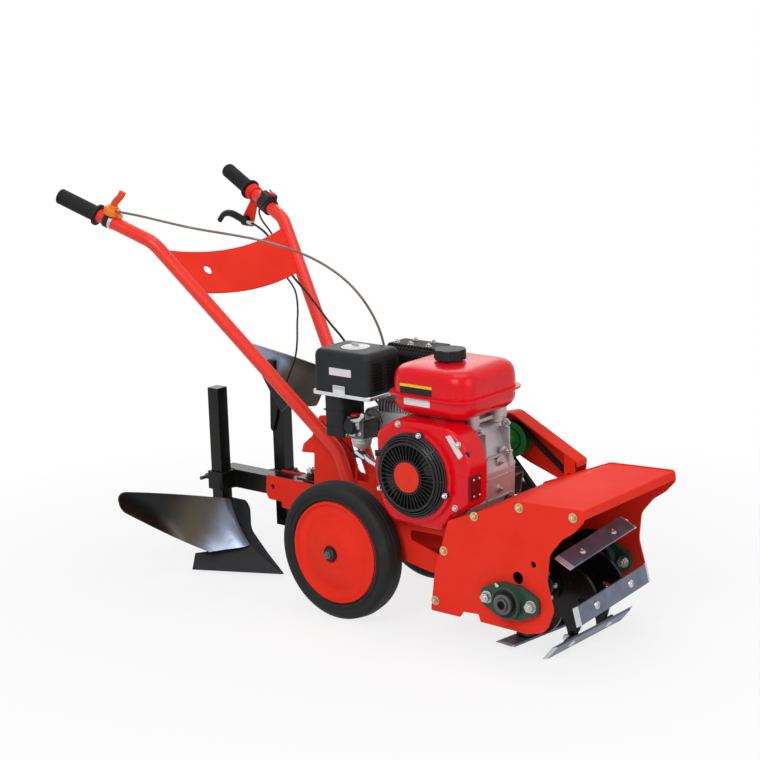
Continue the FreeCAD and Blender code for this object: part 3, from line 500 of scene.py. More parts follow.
def rounded(corners: Sequence[Corner], steps: int = 5) -> list[tuple[float, float]]:
    """Outline points, with each (u, v, radius) corner turned into an arc.

    Args:
        corners: (u, v) or (u, v, radius) corners in order.
        steps: Pieces in each arc.

    Returns:
        Points of the outline.
    """
    points = []
    for index, corner in enumerate(corners):
        here = Vector(corner[:2])
        if len(corner) < 3:
            points.append((here.x, here.y))
            continue
        back = Vector(corners[index - 1][:2]) - here
        ahead = Vector(corners[(index + 1) % len(corners)][:2]) - here
        half = back.angle(ahead) / 2
        reach = min(corner[2] / math.tan(half), 0.49 * min(back.length, ahead.length))
        if half > 1.55 or reach < ON_AXIS:
            points.append((here.x, here.y))
            continue
        back.normalize()
        ahead.normalize()
        radius = reach * math.tan(half)
        middle = here + (back + ahead).normalized() * radius / math.sin(half)
        first = here + back * reach - middle
        last = here + ahead * reach - middle
        start = math.atan2(first.y, first.x)
        turn = (math.atan2(last.y, last.x) - start + math.pi) % (2 * math.pi) - math.pi
        for step in range(steps + 1):
            angle = start + turn * step / steps
            points.append((middle.x + radius * math.cos(angle), middle.y + radius * math.sin(angle)))
    return points


def axes_to(direction: Vector) -> Matrix:
    """Turn that takes +Z to a direction.

    Args:
        direction: Where +Z goes.

    Returns:
        A rotation matrix.
    """
    return direction.to_track_quat("Z", "Y").to_matrix().to_4x4()


def put(form: Mesh, at: Vector, direction: Vector = UP) -> Mesh:
    """Move a form that stands on its own origin, in millimetres, to a place in the frame.

    Args:
        form: The form, upright on its origin.
        at: Its place, in metres.
        direction: Where its +Z points.

    Returns:
        The same form.
    """
    form.transform(Matrix.Translation(at) @ axes_to(direction) @ TO_METRES)
    return form


def lathe(profile: Sequence[Corner], sides: int = 48, closed: bool = False, steps: int = 4) -> Mesh:
    """Turned form about +Z, in millimetres.

    Args:
        profile: (radius, height) or (radius, height, corner radius) corners.
        sides: Faces round the axis.
        closed: True for a ring, whose last corner joins its first.
        steps: Pieces in each rounded corner.

    Returns:
        The form.
    """
    if closed:
        points = rounded(profile, steps)
    else:
        points = [profile[0][:2]] + rounded(profile, steps)[1:]
    form = bmesh.new()
    rings = []
    for radius, height in points:
        if radius < ON_AXIS:
            rings.append([form.verts.new((0, 0, height))] * sides)
        else:
            rings.append([form.verts.new((radius * math.cos(2 * math.pi * k / sides),
                                          radius * math.sin(2 * math.pi * k / sides),
                                          height)) for k in range(sides)])
    pairs = list(zip(rings, rings[1:])) + ([(rings[-1], rings[0])] if closed else [])
    for low, high in pairs:
        for k in range(sides):
            corners = []
            for vert in (low[k], low[(k + 1) % sides], high[(k + 1) % sides], high[k]):
                if vert not in corners:
                    corners.append(vert)
            if len(corners) > 2:
                form.faces.new(corners)
    bmesh.ops.recalc_face_normals(form, faces=form.faces)
    return form


def prism(corners: Sequence[Corner], height: float, bevel: float = 0.0, steps: int = 5) -> Mesh:
    """Upright form on a flat outline, in millimetres.

    Args:
        corners: (x, y) or (x, y, radius) corners.
        height: From the floor up.
        bevel: Width of the rounding on its two rims.
        steps: Pieces in each rounded corner.

    Returns:
        The form.
    """
    points = rounded(corners, steps)
    form = bmesh.new()
    low = [form.verts.new((u, v, 0)) for u, v in points]
    high = [form.verts.new((u, v, height)) for u, v in points]
    form.faces.new(low)
    form.faces.new(high)
    for k in range(len(points)):
        form.faces.new((low[k], low[(k + 1) % len(points)], high[(k + 1) % len(points)], high[k]))
    bmesh.ops.recalc_face_normals(form, faces=form.faces)
    return eased(form, bevel) if bevel else form


def eased(form: Mesh, width: float, angle: float = 40.0) -> Mesh:
    """Round the sharp edges of a form.

    Args:
        form: The form.
        width: Width of the rounding, in the form's own units.
        angle: Edges sharper than this, in degrees, are rounded.

    Returns:
        The same form.
    """
    sharp = [edge for edge in form.edges
             if len(edge.link_faces) == 2 and edge.calc_face_angle(0.0) > math.radians(angle)]
    bmesh.ops.bevel(form, geom=sharp, offset=width, offset_type="OFFSET", segments=2, profile=0.5,
                    affect="EDGES", clamp_overlap=True)
    return form


def block(x: float, y: float, z: float, bevel: float = 1.0) -> Mesh:
    """Eased block, centred on its floor, in millimetres.

    Args:
        x: Length.
        y: Width.
        z: Height.
        bevel: Rounding of its edges.

    Returns:
        The form.
    """
    return prism([(-x / 2, -y / 2), (x / 2, -y / 2), (x / 2, y / 2), (-x / 2, y / 2)], z, bevel)


def smooth_line(points: Sequence[Vector], steps: int = 6) -> list[Vector]:
    """Curve through points, by Catmull-Rom.

    Args:
        points: The points to pass.
        steps: Pieces between two points.

    Returns:
        Points along the curve.
    """
    line = []
    last = len(points) - 1
    for k in range(last):
        a, b, c, d = points[max(k - 1, 0)], points[k], points[k + 1], points[min(k + 2, last)]
        for step in range(steps):
            t = step / steps
            line.append(0.5 * (2 * b + (c - a) * t + (2 * a - 5 * b + 4 * c - d) * t * t
                               + (3 * b - 3 * c + d - a) * t ** 3))
    return line + [points[last].copy()]


def tube(points: Sequence[Vector], radius: float, sides: int = 16, flat: float = 1.0) -> Mesh:
    """Round bar along points of the frame, closed at both ends.

    Args:
        points: Points along its middle, in metres.
        radius: Its radius, in metres.
        sides: Faces round it.
        flat: Height of its section over its width.

    Returns:
        The form.
    """
    form = bmesh.new()
    rings = []
    across = None
    angles = [2 * math.pi * s / sides for s in range(sides)]
    for k, point in enumerate(points):
        run = (points[min(k + 1, len(points) - 1)] - points[max(k - 1, 0)]).normalized()
        across = run.orthogonal() if across is None else across - run * across.dot(run)
        across.normalize()
        up = run.cross(across)
        wide, tall = across * radius, up * radius * flat
        rings.append([form.verts.new(point + wide * math.cos(angle) + tall * math.sin(angle))
                      for angle in angles])
    for low, high in zip(rings, rings[1:]):
        for s in range(sides):
            form.faces.new((low[s], low[(s + 1) % sides], high[(s + 1) % sides], high[s]))
    form.faces.new(rings[0])
    form.faces.new(rings[-1])
    bmesh.ops.recalc_face_normals(form, faces=form.faces)
    return form


def from_cad(node: str, width: float = EDGE) -> Mesh:
    """A CAD node's shape with its sharp edges eased.

    Args:
        node: The node's name.
        width: Width of the rounding, in metres.

    Returns:
        The form.
    """
    form = bmesh.new()
    form.from_mesh(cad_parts[node].data)
    bmesh.ops.remove_doubles(form, verts=form.verts, dist=WELD_GAP)
    bmesh.ops.dissolve_limit(form, angle_limit=math.radians(0.6), verts=form.verts, edges=form.edges)
    eased(form, width, 35)
    bmesh.ops.triangulate(form, faces=[face for face in form.faces if len(face.verts) > 4])
    return form


def hex_bolt(across: float = 13.0, height: float = 6.0, washer: float = 0.0) -> Mesh:
    """Hexagon head on a washer, standing on its own origin, in millimetres.

    Args:
        across: Size across the flats.
        height: Height of the head.
        washer: Radius of the washer; none for no washer.

    Returns:
        The form.
    """
    reach = across / math.sqrt(3)
    low = 0.0
    form = bmesh.new()
    if washer:
        low = 1.8
        add(form, lathe([(0, 0), (washer, 0), (washer, low, 0.4), (0, low)], 28))
    corners = [(reach * math.cos(math.pi * k / 3), reach * math.sin(math.pi * k / 3)) for k in range(6)]
    head = prism(corners, height, 0.7)
    bmesh.ops.translate(head, verts=head.verts, vec=(0, 0, low))
    add(form, head)
    thread, foot, tip = across * 0.30, low + height, low + height + 2.2
    return add(form, lathe([(0, foot), (thread, foot), (thread, tip, 0.8), (0, tip)], 20))


def pan_screw(radius: float = 4.5) -> Mesh:
    """Domed screw head with a cross slot's shallow middle, in millimetres.

    Args:
        radius: Radius of the head.

    Returns:
        The form.
    """
    return lathe([(0, 0), (radius, 0), (radius, radius * 0.35, 0.3), (radius * 0.7, radius * 0.62, 1.0),
                  (radius * 0.30, radius * 0.62), (radius * 0.22, radius * 0.25), (0, radius * 0.25)], 20)


def add(form: Mesh, more: Mesh) -> Mesh:
    """Put a second form into the first.

    Args:
        form: The form that grows.
        more: The form that goes in; it is used up.

    Returns:
        The first form.
    """
    carrier = bpy.data.meshes.new("carrier")
    more.to_mesh(carrier)
    more.free()
    form.from_mesh(carrier)
    bpy.data.meshes.remove(carrier)
    return form


def together(forms: Iterable[Mesh]) -> Mesh:
    """One form out of several.

    Args:
        forms: The forms; they are used up.

    Returns:
        The joined form.
    """
    whole = bmesh.new()
    for form in forms:
        add(whole, form)
    return whole


# ---------------------------------------------------------------- repeats

class Repeats:
    """Geometry Nodes trees that repeat a small form."""

    trees: dict[str, bpy.types.NodeTree] = {}

    @classmethod
    def _tree(cls, name: str, sizes: dict[str, str]) -> tuple[Graph, bpy.types.Node]:
        """A new tree with its inputs.

        Args:
            name: The tree's name.
            sizes: Socket type of each number input, by name.

        Returns:
            The tree and its input node.
        """
        tree = bpy.data.node_groups.new(name, "GeometryNodeTree")
        kinds = {"Geometry": "Geometry", **sizes, "Item": "Object", "Material": "Material"}
        for title, kind in kinds.items():
            tree.interface.new_socket(title, in_out="INPUT", socket_type="NodeSocket" + kind)
        tree.interface.new_socket("Geometry", in_out="OUTPUT", socket_type="NodeSocketGeometry")
        cls.trees[name] = tree
        graph = Graph(tree)
        return graph, graph.node("NodeGroupInput", {}, {})

    @staticmethod
    def _close(graph: Graph, given: bpy.types.Node, points: bpy.types.NodeSocket,
               turn: bpy.types.NodeSocket) -> None:
        """End a tree: the item on each point, realised, with its material.

        Args:
            graph: The tree.
            given: Its input node.
            points: Where the items stand.
            turn: How each is turned.
        """
        item = graph.node("GeometryNodeObjectInfo", {}, {"Object": given.outputs["Item"]})
        copies = graph.node("GeometryNodeInstanceOnPoints", {}, {
            "Points": points, "Instance": item.outputs["Geometry"], "Rotation": turn})
        real = graph.node("GeometryNodeRealizeInstances", {}, {0: copies.outputs[0]})
        paint = graph.node("GeometryNodeSetMaterial", {}, {
            "Geometry": real.outputs[0], "Material": given.outputs["Material"]})
        graph.node("NodeGroupOutput", {}, {0: paint.outputs[0]})

    @classmethod
    def spots_tree(cls) -> bpy.types.NodeTree:
        """The item on each point of the mesh, with its +Z along the point's own facing.

        Returns:
            The tree.
        """
        if "on_spots" not in cls.trees:
            graph, given = cls._tree("on_spots", {})
            facing = graph.node("GeometryNodeInputNamedAttribute", {"data_type": "FLOAT_VECTOR"},
                                {"Name": "facing"})
            turn = graph.node("FunctionNodeAlignRotationToVector", {"axis": "Z"}, {
                "Vector": facing.outputs["Attribute"]})
            cls._close(graph, given, given.outputs["Geometry"], turn.outputs["Rotation"])
        return cls.trees["on_spots"]

    @classmethod
    def ring_tree(cls) -> bpy.types.NodeTree:
        """The item round a circle about +Z, with its +X outward.

        Returns:
            The tree.
        """
        if "round_ring" not in cls.trees:
            graph, given = cls._tree("round_ring", {"Count": "Int", "Radius": "Float"})
            circle = graph.node("GeometryNodeMeshCircle", {}, {
                "Vertices": given.outputs["Count"], "Radius": given.outputs["Radius"]})
            place = graph.node("GeometryNodeInputPosition", {}, {})
            turn = graph.node("FunctionNodeAlignRotationToVector", {"axis": "X", "pivot_axis": "Z"}, {
                "Vector": place.outputs[0]})
            cls._close(graph, given, circle.outputs[0], turn.outputs["Rotation"])
        return cls.trees["round_ring"]

    @classmethod
    def grid_tree(cls) -> bpy.types.NodeTree:
        """The item on a flat grid of rows and columns.

        Returns:
            The tree.
        """
        if "on_grid" not in cls.trees:
            graph, given = cls._tree("on_grid", {"Columns": "Int", "Rows": "Int", "Length": "Float",
                                                 "Width": "Float"})
            grid = graph.node("GeometryNodeMeshGrid", {}, {
                "Vertices X": given.outputs["Columns"], "Vertices Y": given.outputs["Rows"],
                "Size X": given.outputs["Length"], "Size Y": given.outputs["Width"]})
            still = graph.node("FunctionNodeEulerToRotation", {}, {})
            cls._close(graph, given, grid.outputs[0], still.outputs[0])
        return cls.trees["on_grid"]

    @staticmethod
    def run(tree: bpy.types.NodeTree, item: Mesh, sizes: dict[str, float],
            spots: Sequence[tuple[Vector, Vector]] = ()) -> Mesh:
        """Run a tree once and keep its plain mesh.

        Args:
            tree: The tree.
            item: The form that is repeated; it is used up.
            sizes: The tree's number inputs by name.
            spots: (place, facing) of each point, for the tree that reads them.

        Returns:
            The repeated form.
        """
        sample = bpy.data.objects.new("item", bpy.data.meshes.new("item"))
        item.to_mesh(sample.data)
        item.free()
        bpy.context.scene.collection.objects.link(sample)
        base = bpy.data.meshes.new("spots")
        base.from_pydata([place for place, _ in spots], [], [])
        if spots:
            facing = base.attributes.new("facing", "FLOAT_VECTOR", "POINT")
            facing.data.foreach_set("vector", [value for _, way in spots for value in way])
        carrier = bpy.data.objects.new("carrier", base)
        bpy.context.scene.collection.objects.link(carrier)
        live = carrier.modifiers.new("repeat", "NODES")
        live.node_group = tree
        names = {socket.name: socket.identifier for socket in tree.interface.items_tree
                 if socket.in_out == "INPUT"}
        live[names["Item"]] = sample
        for key, value in sizes.items():
            live[names[key]] = value
        plain = bpy.data.meshes.new_from_object(carrier.evaluated_get(bpy.context.evaluated_depsgraph_get()))
        form = bmesh.new()
        form.from_mesh(plain)
        bmesh.ops.remove_doubles(form, verts=form.verts, dist=0.0000005)
        bpy.data.objects.remove(carrier)
        bpy.data.objects.remove(sample)
        for mesh in (base, plain):
            bpy.data.meshes.remove(mesh)
        return form

    @classmethod
    def spots(cls, item: Mesh, places: Sequence[tuple[Vector, Vector]]) -> Mesh:
        """Copies of an item in millimetres, at places of the frame.

        Args:
            item: The form, upright on its origin.
            places: (place in metres, facing) of each copy.

        Returns:
            The copies.
        """
        item.transform(TO_METRES)
        return cls.run(cls.spots_tree(), item, {}, places)

    @classmethod
    def ring(cls, item: Mesh, count: int, radius: float) -> Mesh:
        """Copies of an item round +Z, in millimetres.

        Args:
            item: The form, with +X outward.
            count: How many.
            radius: The circle's radius.

        Returns:
            The copies.
        """
        return cls.run(cls.ring_tree(), item, {"Count": count, "Radius": radius})

    @classmethod
    def grid(cls, item: Mesh, columns: int, rows: int, length: float, width: float) -> Mesh:
        """Copies of an item on a flat grid about the origin, in millimetres.

        Args:
            item: The form.
            columns: Copies along X.
            rows: Copies along Y.
            length: From the first column to the last.
            width: From the first row to the last.

        Returns:
            The copies.
        """
        return cls.run(cls.grid_tree(), item, {"Columns": columns, "Rows": rows, "Length": length,
                                               "Width": width})


def fastened(item: Mesh, spots: Route, facing: Sequence[float]) -> Mesh:
    """Copies of a fastener at places in the axle's frame, all facing one way.

    Args:
        item: The fastener, upright on its origin, in millimetres.
        spots: (x, y, z) places, in millimetres.
        facing: The way they face.

    Returns:
        The copies.
    """
    return Repeats.spots(item, [(mm(*spot), Vector(facing)) for spot in spots])


# ---------------------------------------------------------------- pieces

def piece(name: str, body: Body, parts: Sequence[Part], replaces: Sequence[str] = ()) -> None:
    """Finish a piece and put it on its body.

    Args:
        name: The piece's name.
        body: The body that it rides on.
        parts: (form in metres, finish) of each of its parts; the forms are used up.
        replaces: CAD nodes that it stands for.
    """
    whole = bmesh.new()
    mesh = bpy.data.meshes.new(name)
    finishes: list[Finish] = []
    for form, finish in parts:
        if finish not in finishes:
            finishes.append(finish)
            mesh.materials.append(finish.make())
        for face in form.faces:
            face.material_index = finishes.index(finish)
            face.smooth = True
        add(whole, form)
    whole.to_mesh(mesh)
    whole.free()
    mesh.set_sharp_from_angle(angle=SHARP)
    made = bpy.data.objects.new(name, mesh)
    bpy.context.scene.collection.objects.link(made)
    weights = made.modifiers.new("weights", "WEIGHTED_NORMAL")
    weights.keep_sharp = True
    plain = bpy.data.meshes.new_from_object(made.evaluated_get(bpy.context.evaluated_depsgraph_get()))
    made.modifiers.clear()
    made.data = plain
    bpy.data.meshes.remove(mesh)
    plain.name = name
    if replaces:
        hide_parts(*replaces)
    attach(made, body.value)
    LOG.info("%s: %d faces", name, len(plain.polygons))


def dress(node: str, finish: Finish) -> None:
    """Give a CAD node that stays a better material.

    Args:
        node: The node's name.
        finish: Its finish.
    """
    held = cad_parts[node]
    if not held.material_slots:
        held.data.materials.append(None)
    for place in held.material_slots:
        place.material = finish.make()


def eased_nodes(body: Body, finish: Finish, nodes: Sequence[str], width: float = EDGE) -> None:
    """Each CAD node's own shape with its edges eased, as a piece of its own.

    Args:
        body: The body that they ride on.
        finish: Their finish.
        nodes: The nodes' names.
        width: Width of the rounding, in metres.
    """
    for node in nodes:
        piece(node + "_sheet", body, [(from_cad(node, width), finish)], [node])


def slab(corners: Sequence[Corner], y0: float, y1: float, bevel: float = 0.0, steps: int = 5) -> Mesh:
    """Upright plate with an outline in XZ, between two Y planes of the axle's frame.

    Args:
        corners: (x, z) or (x, z, radius) corners, in millimetres.
        y0: Its right face.
        y1: Its left face.
        bevel: Width of the rounding on its rims.
        steps: Pieces in each rounded corner.

    Returns:
        The form, in metres.
    """
    form = prism(corners, y1 - y0, bevel, steps)
    form.transform(Matrix.Translation(mm(0, y1, 0)) @ Matrix.Rotation(math.pi / 2, 4, "X") @ TO_METRES)
    return form


def wall(corners: Sequence[Corner], x0: float, x1: float, bevel: float = 0.0, steps: int = 5) -> Mesh:
    """Upright plate with an outline in YZ, between two X planes of the axle's frame.

    Args:
        corners: (y, z) or (y, z, radius) corners, in millimetres.
        x0: Its rear face.
        x1: Its front face.
        bevel: Width of the rounding on its rims.
        steps: Pieces in each rounded corner.

    Returns:
        The form, in metres.
    """
    form = prism(corners, x1 - x0, bevel, steps)
    form.transform(Matrix.Translation(mm(x0, 0, 0)) @ YZ_UPRIGHT @ TO_METRES)
    return form


def stack(sections: Sequence[tuple[float, float, float]], size: Sequence[float], steps: int = 8) -> Mesh:
    """Soft box from rounded rectangles one over another.

    Args:
        sections: (height, inset, corner radius) of each rectangle, from the bottom up, in millimetres.
        size: x0, x1, y0, y1 of the rectangle without an inset, in the axle's frame.
        steps: Pieces in each rounded corner.

    Returns:
        The form, in metres.
    """
    form = bmesh.new()
    rings = []
    x0, x1, y0, y1 = size
    for height, inset, radius in sections:
        corners = [(x0 + inset, y0 + inset, radius), (x1 - inset, y0 + inset, radius),
                   (x1 - inset, y1 - inset, radius), (x0 + inset, y1 - inset, radius)]
        rings.append([form.verts.new(mm(u, v, height)) for u, v in rounded(corners, steps)])
    for low, high in zip(rings, rings[1:]):
        for k in range(len(low)):
            form.faces.new((low[k], low[(k + 1) % len(low)], high[(k + 1) % len(high)], high[k]))
    form.faces.new(rings[0])
    form.faces.new(rings[-1])
    bmesh.ops.recalc_face_normals(form, faces=form.faces)
    return form


def label(corners: Sequence[Corner], y: float) -> Mesh:
    """Thin blank plate on a face that looks to the right.

    Args:
        corners: (x, z) or (x, z, radius) corners, in millimetres.
        y: The face's place; the plate stands on its outer side.

    Returns:
        The form, in metres.
    """
    return slab(corners, y - 0.5, y, 0.15)


# ---------------------------------------------------------------- studio and cords

@dataclass
class Studio:
    """Pale floor, white surround, soft lamps and the camera."""

    camera_at: Vector = field(default_factory=lambda: mm(2352.9, -2862.6, 1291.0))
    right: Vector = field(default_factory=lambda: Vector((0.775, 0.6313, -0.0304)))
    back: Vector = field(default_factory=lambda: Vector((0.6211, -0.7519, 0.2210)))
    lens: float = 89.68
    floor_half: float = 15.0
    floor_z: float = -0.001
    shadow_reach: Sequence[float] = (0.50, 1.5)
    near_white: float = 0.80
    soft_light: float = 0.36
    lamps_aim: Vector = field(default_factory=lambda: Vector((0, 0, 0.35)))
    lamps: Sequence[tuple[str, Corner, float, float]] = (
        ("key", (0.9, -2.8, 2.5), 1.6, 58.0), ("front", (3.0, -0.2, 1.5), 1.6, 20.0),
        ("top", (0.3, 0.2, 3.3), 1.8, 26.0), ("behind", (-2.4, 2.4, 2.4), 2.4, 26.0))

    def camera(self) -> None:
        """Place the camera."""
        seen = bpy.data.cameras.new("camera")
        seen.lens = self.lens
        seen.sensor_width = 36.0
        seen.clip_end = 60.0
        held = bpy.data.objects.new("camera", seen)
        back = self.back.normalized()
        right = (self.right - back * self.right.dot(back)).normalized()
        turn = Matrix((right, back.cross(right), back)).transposed()
        held.matrix_world = Matrix.Translation(self.camera_at) @ turn.to_4x4()
        bpy.context.scene.collection.objects.link(held)
        bpy.context.scene.camera = held

    def floor(self) -> None:
        """Floor that goes to plain white away from the machine and keeps its shadow."""
        recipe = Recipe("floor")
        matt = recipe.node("ShaderNodeBsdfDiffuse", {}, {"Color": (0.86, 0.86, 0.86, 1.0)})
        white = recipe.node("ShaderNodeEmission", {}, {"Color": WHITE, "Strength": 1.0})
        far = recipe.node("ShaderNodeVectorMath", {"operation": "LENGTH"}, {0: recipe.place()})
        clear = recipe.ramp(Signal(recipe.tree, far.outputs["Value"]), *self.shadow_reach)
        lift = clear * (1 - self.near_white) + self.near_white
        blend = recipe.node("ShaderNodeMixShader", {}, {0: recipe.seen_directly() * lift, 1: matt.outputs[0],
                                                        2: white.outputs[0]})
        recipe.feed(recipe.tree.nodes["Material Output"], {"Surface": blend.outputs[0]})
        mesh = bpy.data.meshes.new("floor")
        mesh.from_pydata([(x * self.floor_half, y * self.floor_half, self.floor_z)
                          for x, y in ((-1, -1), (1, -1), (1, 1), (-1, 1))], [], [(0, 1, 2, 3)])
        mesh.materials.append(recipe.material)
        made = bpy.data.objects.new("floor", mesh)
        bpy.context.scene.collection.objects.link(made)

    def surround(self) -> None:
        """White world that lights softly."""
        world = bpy.data.worlds.new("surround")
        world.use_nodes = True
        world.node_tree.nodes.clear()
        graph = Graph(world.node_tree)
        soft = graph.node("ShaderNodeBackground", {}, {"Strength": self.soft_light})
        white = graph.node("ShaderNodeBackground", {}, {"Color": WHITE, "Strength": 1.0})
        blend = graph.node("ShaderNodeMixShader", {}, {0: graph.seen_directly(), 1: soft.outputs[0],
                                                       2: white.outputs[0]})
        graph.node("ShaderNodeOutputWorld", {}, {"Surface": blend.outputs[0]})
        bpy.context.scene.world = world

    def lamp(self, name: str, at: Sequence[float], size: float, power: float) -> None:
        """Soft square lamp that faces the machine.

        Args:
            name: Its name.
            at: Its place, in metres.
            size: Its side, in metres.
            power: Its power, in watts.
        """
        light = bpy.data.lights.new(name, "AREA")
        light.size = size
        light.energy = power
        held = bpy.data.objects.new(name, light)
        held.location = at
        held.rotation_euler = (Vector(at) - self.lamps_aim).to_track_quat("Z", "Y").to_euler()
        bpy.context.scene.collection.objects.link(held)

    def build(self) -> None:
        """Everything round the machine."""
        self.camera()
        self.floor()
        self.surround()
        for name, at, size, power in self.lamps:
            self.lamp(name, at, size, power)
        bpy.context.scene.view_settings.view_transform = "Standard"


@dataclass
class Cables:
    """The throttle's inner cable, the clutch cable and the stop switch's wire."""

    throttle: Route = (
        (-511, -228, 788), (-462, -222, 784), (-400, -202, 771), (-335, -180, 758), (-268, -152, 748),
        (-205, -122, 736), (-146, -90, 716), (-94, -62, 688), (-50, -38, 650), (-18, -20, 602),
        (0, -7, 552), (6, 0, 504), (8, 2, 464), (5, 3, 428), (4.2, 2.1, 411))
    clutch: Route = (
        (-548, 216, 704), (-512, 212, 694), (-466, 197, 666), (-420, 176, 634), (-366, 142, 610),
        (-308, 114, 591), (-250, 92, 560), (-196, 65, 536), (-140, 44, 511), (-98, 26, 478),
        (-68, 19, 438), (-44, 17, 402), (-13, 16.1, 383))
    wire: Route = (
        (-482, 195, 762), (-484, 172, 752), (-472, 160, 728), (-440, 164, 696), (-416, 158, 662),
        (-392, 138, 634), (-364, 118, 614), (-332, 104, 600), (-305, 84, 589), (-282, 62, 573),
        (-264, 42, 556), (-244, 16, 540), (-218, -14, 514), (-209, -30, 483), (-216, -40, 454),
        (-229, -44, 424), (-236, -46, 393), (-209, -46, 375), (-162, -45, 367), (-123, -32, 342),
        (-96, -18, 312), (-70, -10, 284), (-38, -10, 276), (0, -12, 286), (28, -14, 302), (42, -14, 317.5))

    def cable(self, name: str, node: str, route: Route, radius: float, finish: Finish) -> None:
        """One cable as a smooth curve through its route's runs.

        Args:
            name: The piece's name.
            node: The CAD node that it stands for.
            route: Its points, in millimetres.
            radius: Its radius, in millimetres.
            finish: Its finish.
        """
        points = [mm(*point) for point in route]
        curve = bpy.data.curves.new(name, "CURVE")
        curve.dimensions = "3D"
        line = curve.splines.new("NURBS")
        line.points.add(len(points) - 1)
        for place, point in zip(line.points, points):
            place.co = (*point, 1.0)
        line.order_u = 3
        line.use_endpoint_u = True
        line.resolution_u = 8
        curve.bevel_depth = radius / 1000
        curve.bevel_resolution = 4
        curve.use_fill_caps = True
        curve.materials.append(finish.make())
        made = bpy.data.objects.new(name, curve)
        bpy.context.scene.collection.objects.link(made)
        tuple(points[0])
        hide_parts(node)
        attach(made, Body.FRAME.value)

    def build(self) -> None:
        """All three."""
        self.cable("throttle_inner_cable", "throttle_cable", self.throttle, 2.5,
                   Finishes.WIRE_STEEL)
        self.cable("clutch_outer_cable", "clutch_cable", self.clutch, 2.5, Finishes.CABLE)
        self.cable("stop_switch_wire", "switch_wire", self.wire, 2.0, Finishes.CABLE)


# ---------------------------------------------------------------- wheels and chassis

@dataclass
class Wheel:
    """Solid tyre on a domed steel disc."""

    side: int
    track_half: float = 149.0
    sides: int = 96

    def build(self) -> None:
        """Tyre and pressed disc."""
        word = "left" if self.side > 0 else "right"
        body = Body.WHEEL_LEFT if self.side > 0 else Body.WHEEL_RIGHT
        middle = mm(0, self.side * self.track_half, AXLE_Z)
        out = Vector((0, self.side, 0))
        half = [(104, 22, 2), (108, 26.4, 1.5), (113, 27, 1), (114.3, 25.4, 0.5), (117, 25.4, 0.5),
                (118.4, 27, 1), (128, 26.6, 6), (137.0, 20.5, 6), (139.0, 9, 4), (139.1, 1.8, 0.3),
                (139.9, 1.2, 0.3)]
        ring = half + [(corner[0], -corner[1], corner[2]) for corner in reversed(half)]
        tyre = lathe(ring, self.sides, closed=True)
        piece("tyre_" + word + "_rubber", body, [(put(tyre, middle, out), Finishes.TYRE)],
              ["tyre_" + word])
        rim = lathe([(101, -22, 0.8), (104, -22, 0.8), (104, 22, 0.8), (101, 22, 0.8)], self.sides, closed=True)
        dish = lathe([(103, 21), (103, 26, 1), (99, 27, 1.5), (95, 19, 4), (80, 17, 14), (42, 31, 16),
                      (16, 34, 3), (16, 30, 2), (40, 27, 16), (79, 13, 14), (95, 15, 3),
                      (101, 18)], self.sides, closed=True)
        hub = lathe([(10.1, -30, 0.5), (17, -30, 1), (17, 32, 1), (10.1, 32, 0.5)], 40, closed=True)
        seam = lathe([(16.5, 28), (20.5, 33.8, 1.5), (16.5, 35.5, 1.5)], 40, closed=True)
        parts = [(put(form, middle, out), Finishes.ORANGE) for form in (rim, dish, hub, seam)]
        piece("wheel_disc_" + word + "_pressed", body, parts, ["wheel_disc_" + word])

    @staticmethod
    def axle() -> None:
        """The axle with its collars, and a nut and washer at each end."""
        washer = [(0, 0), (15.5, 0), (15.5, 2.2, 0.6), (0, 2.2)]
        ends = []
        for side in (-1, 1):
            out = Vector((0, side, 0))
            ends.append((put(lathe(washer, 40), mm(0, side * 185.0, AXLE_Z), out), Finishes.BLACK))
            ends.append((put(hex_bolt(15, 6, 10), mm(0, side * 187.0, AXLE_Z), out), Finishes.DARK_ALLOY))
        bar = (from_cad("wheel_axle"), Finishes.DARK_STEEL)
        piece("wheel_axle_bar", Body.FRAME, [bar, *ends], ["wheel_axle"])


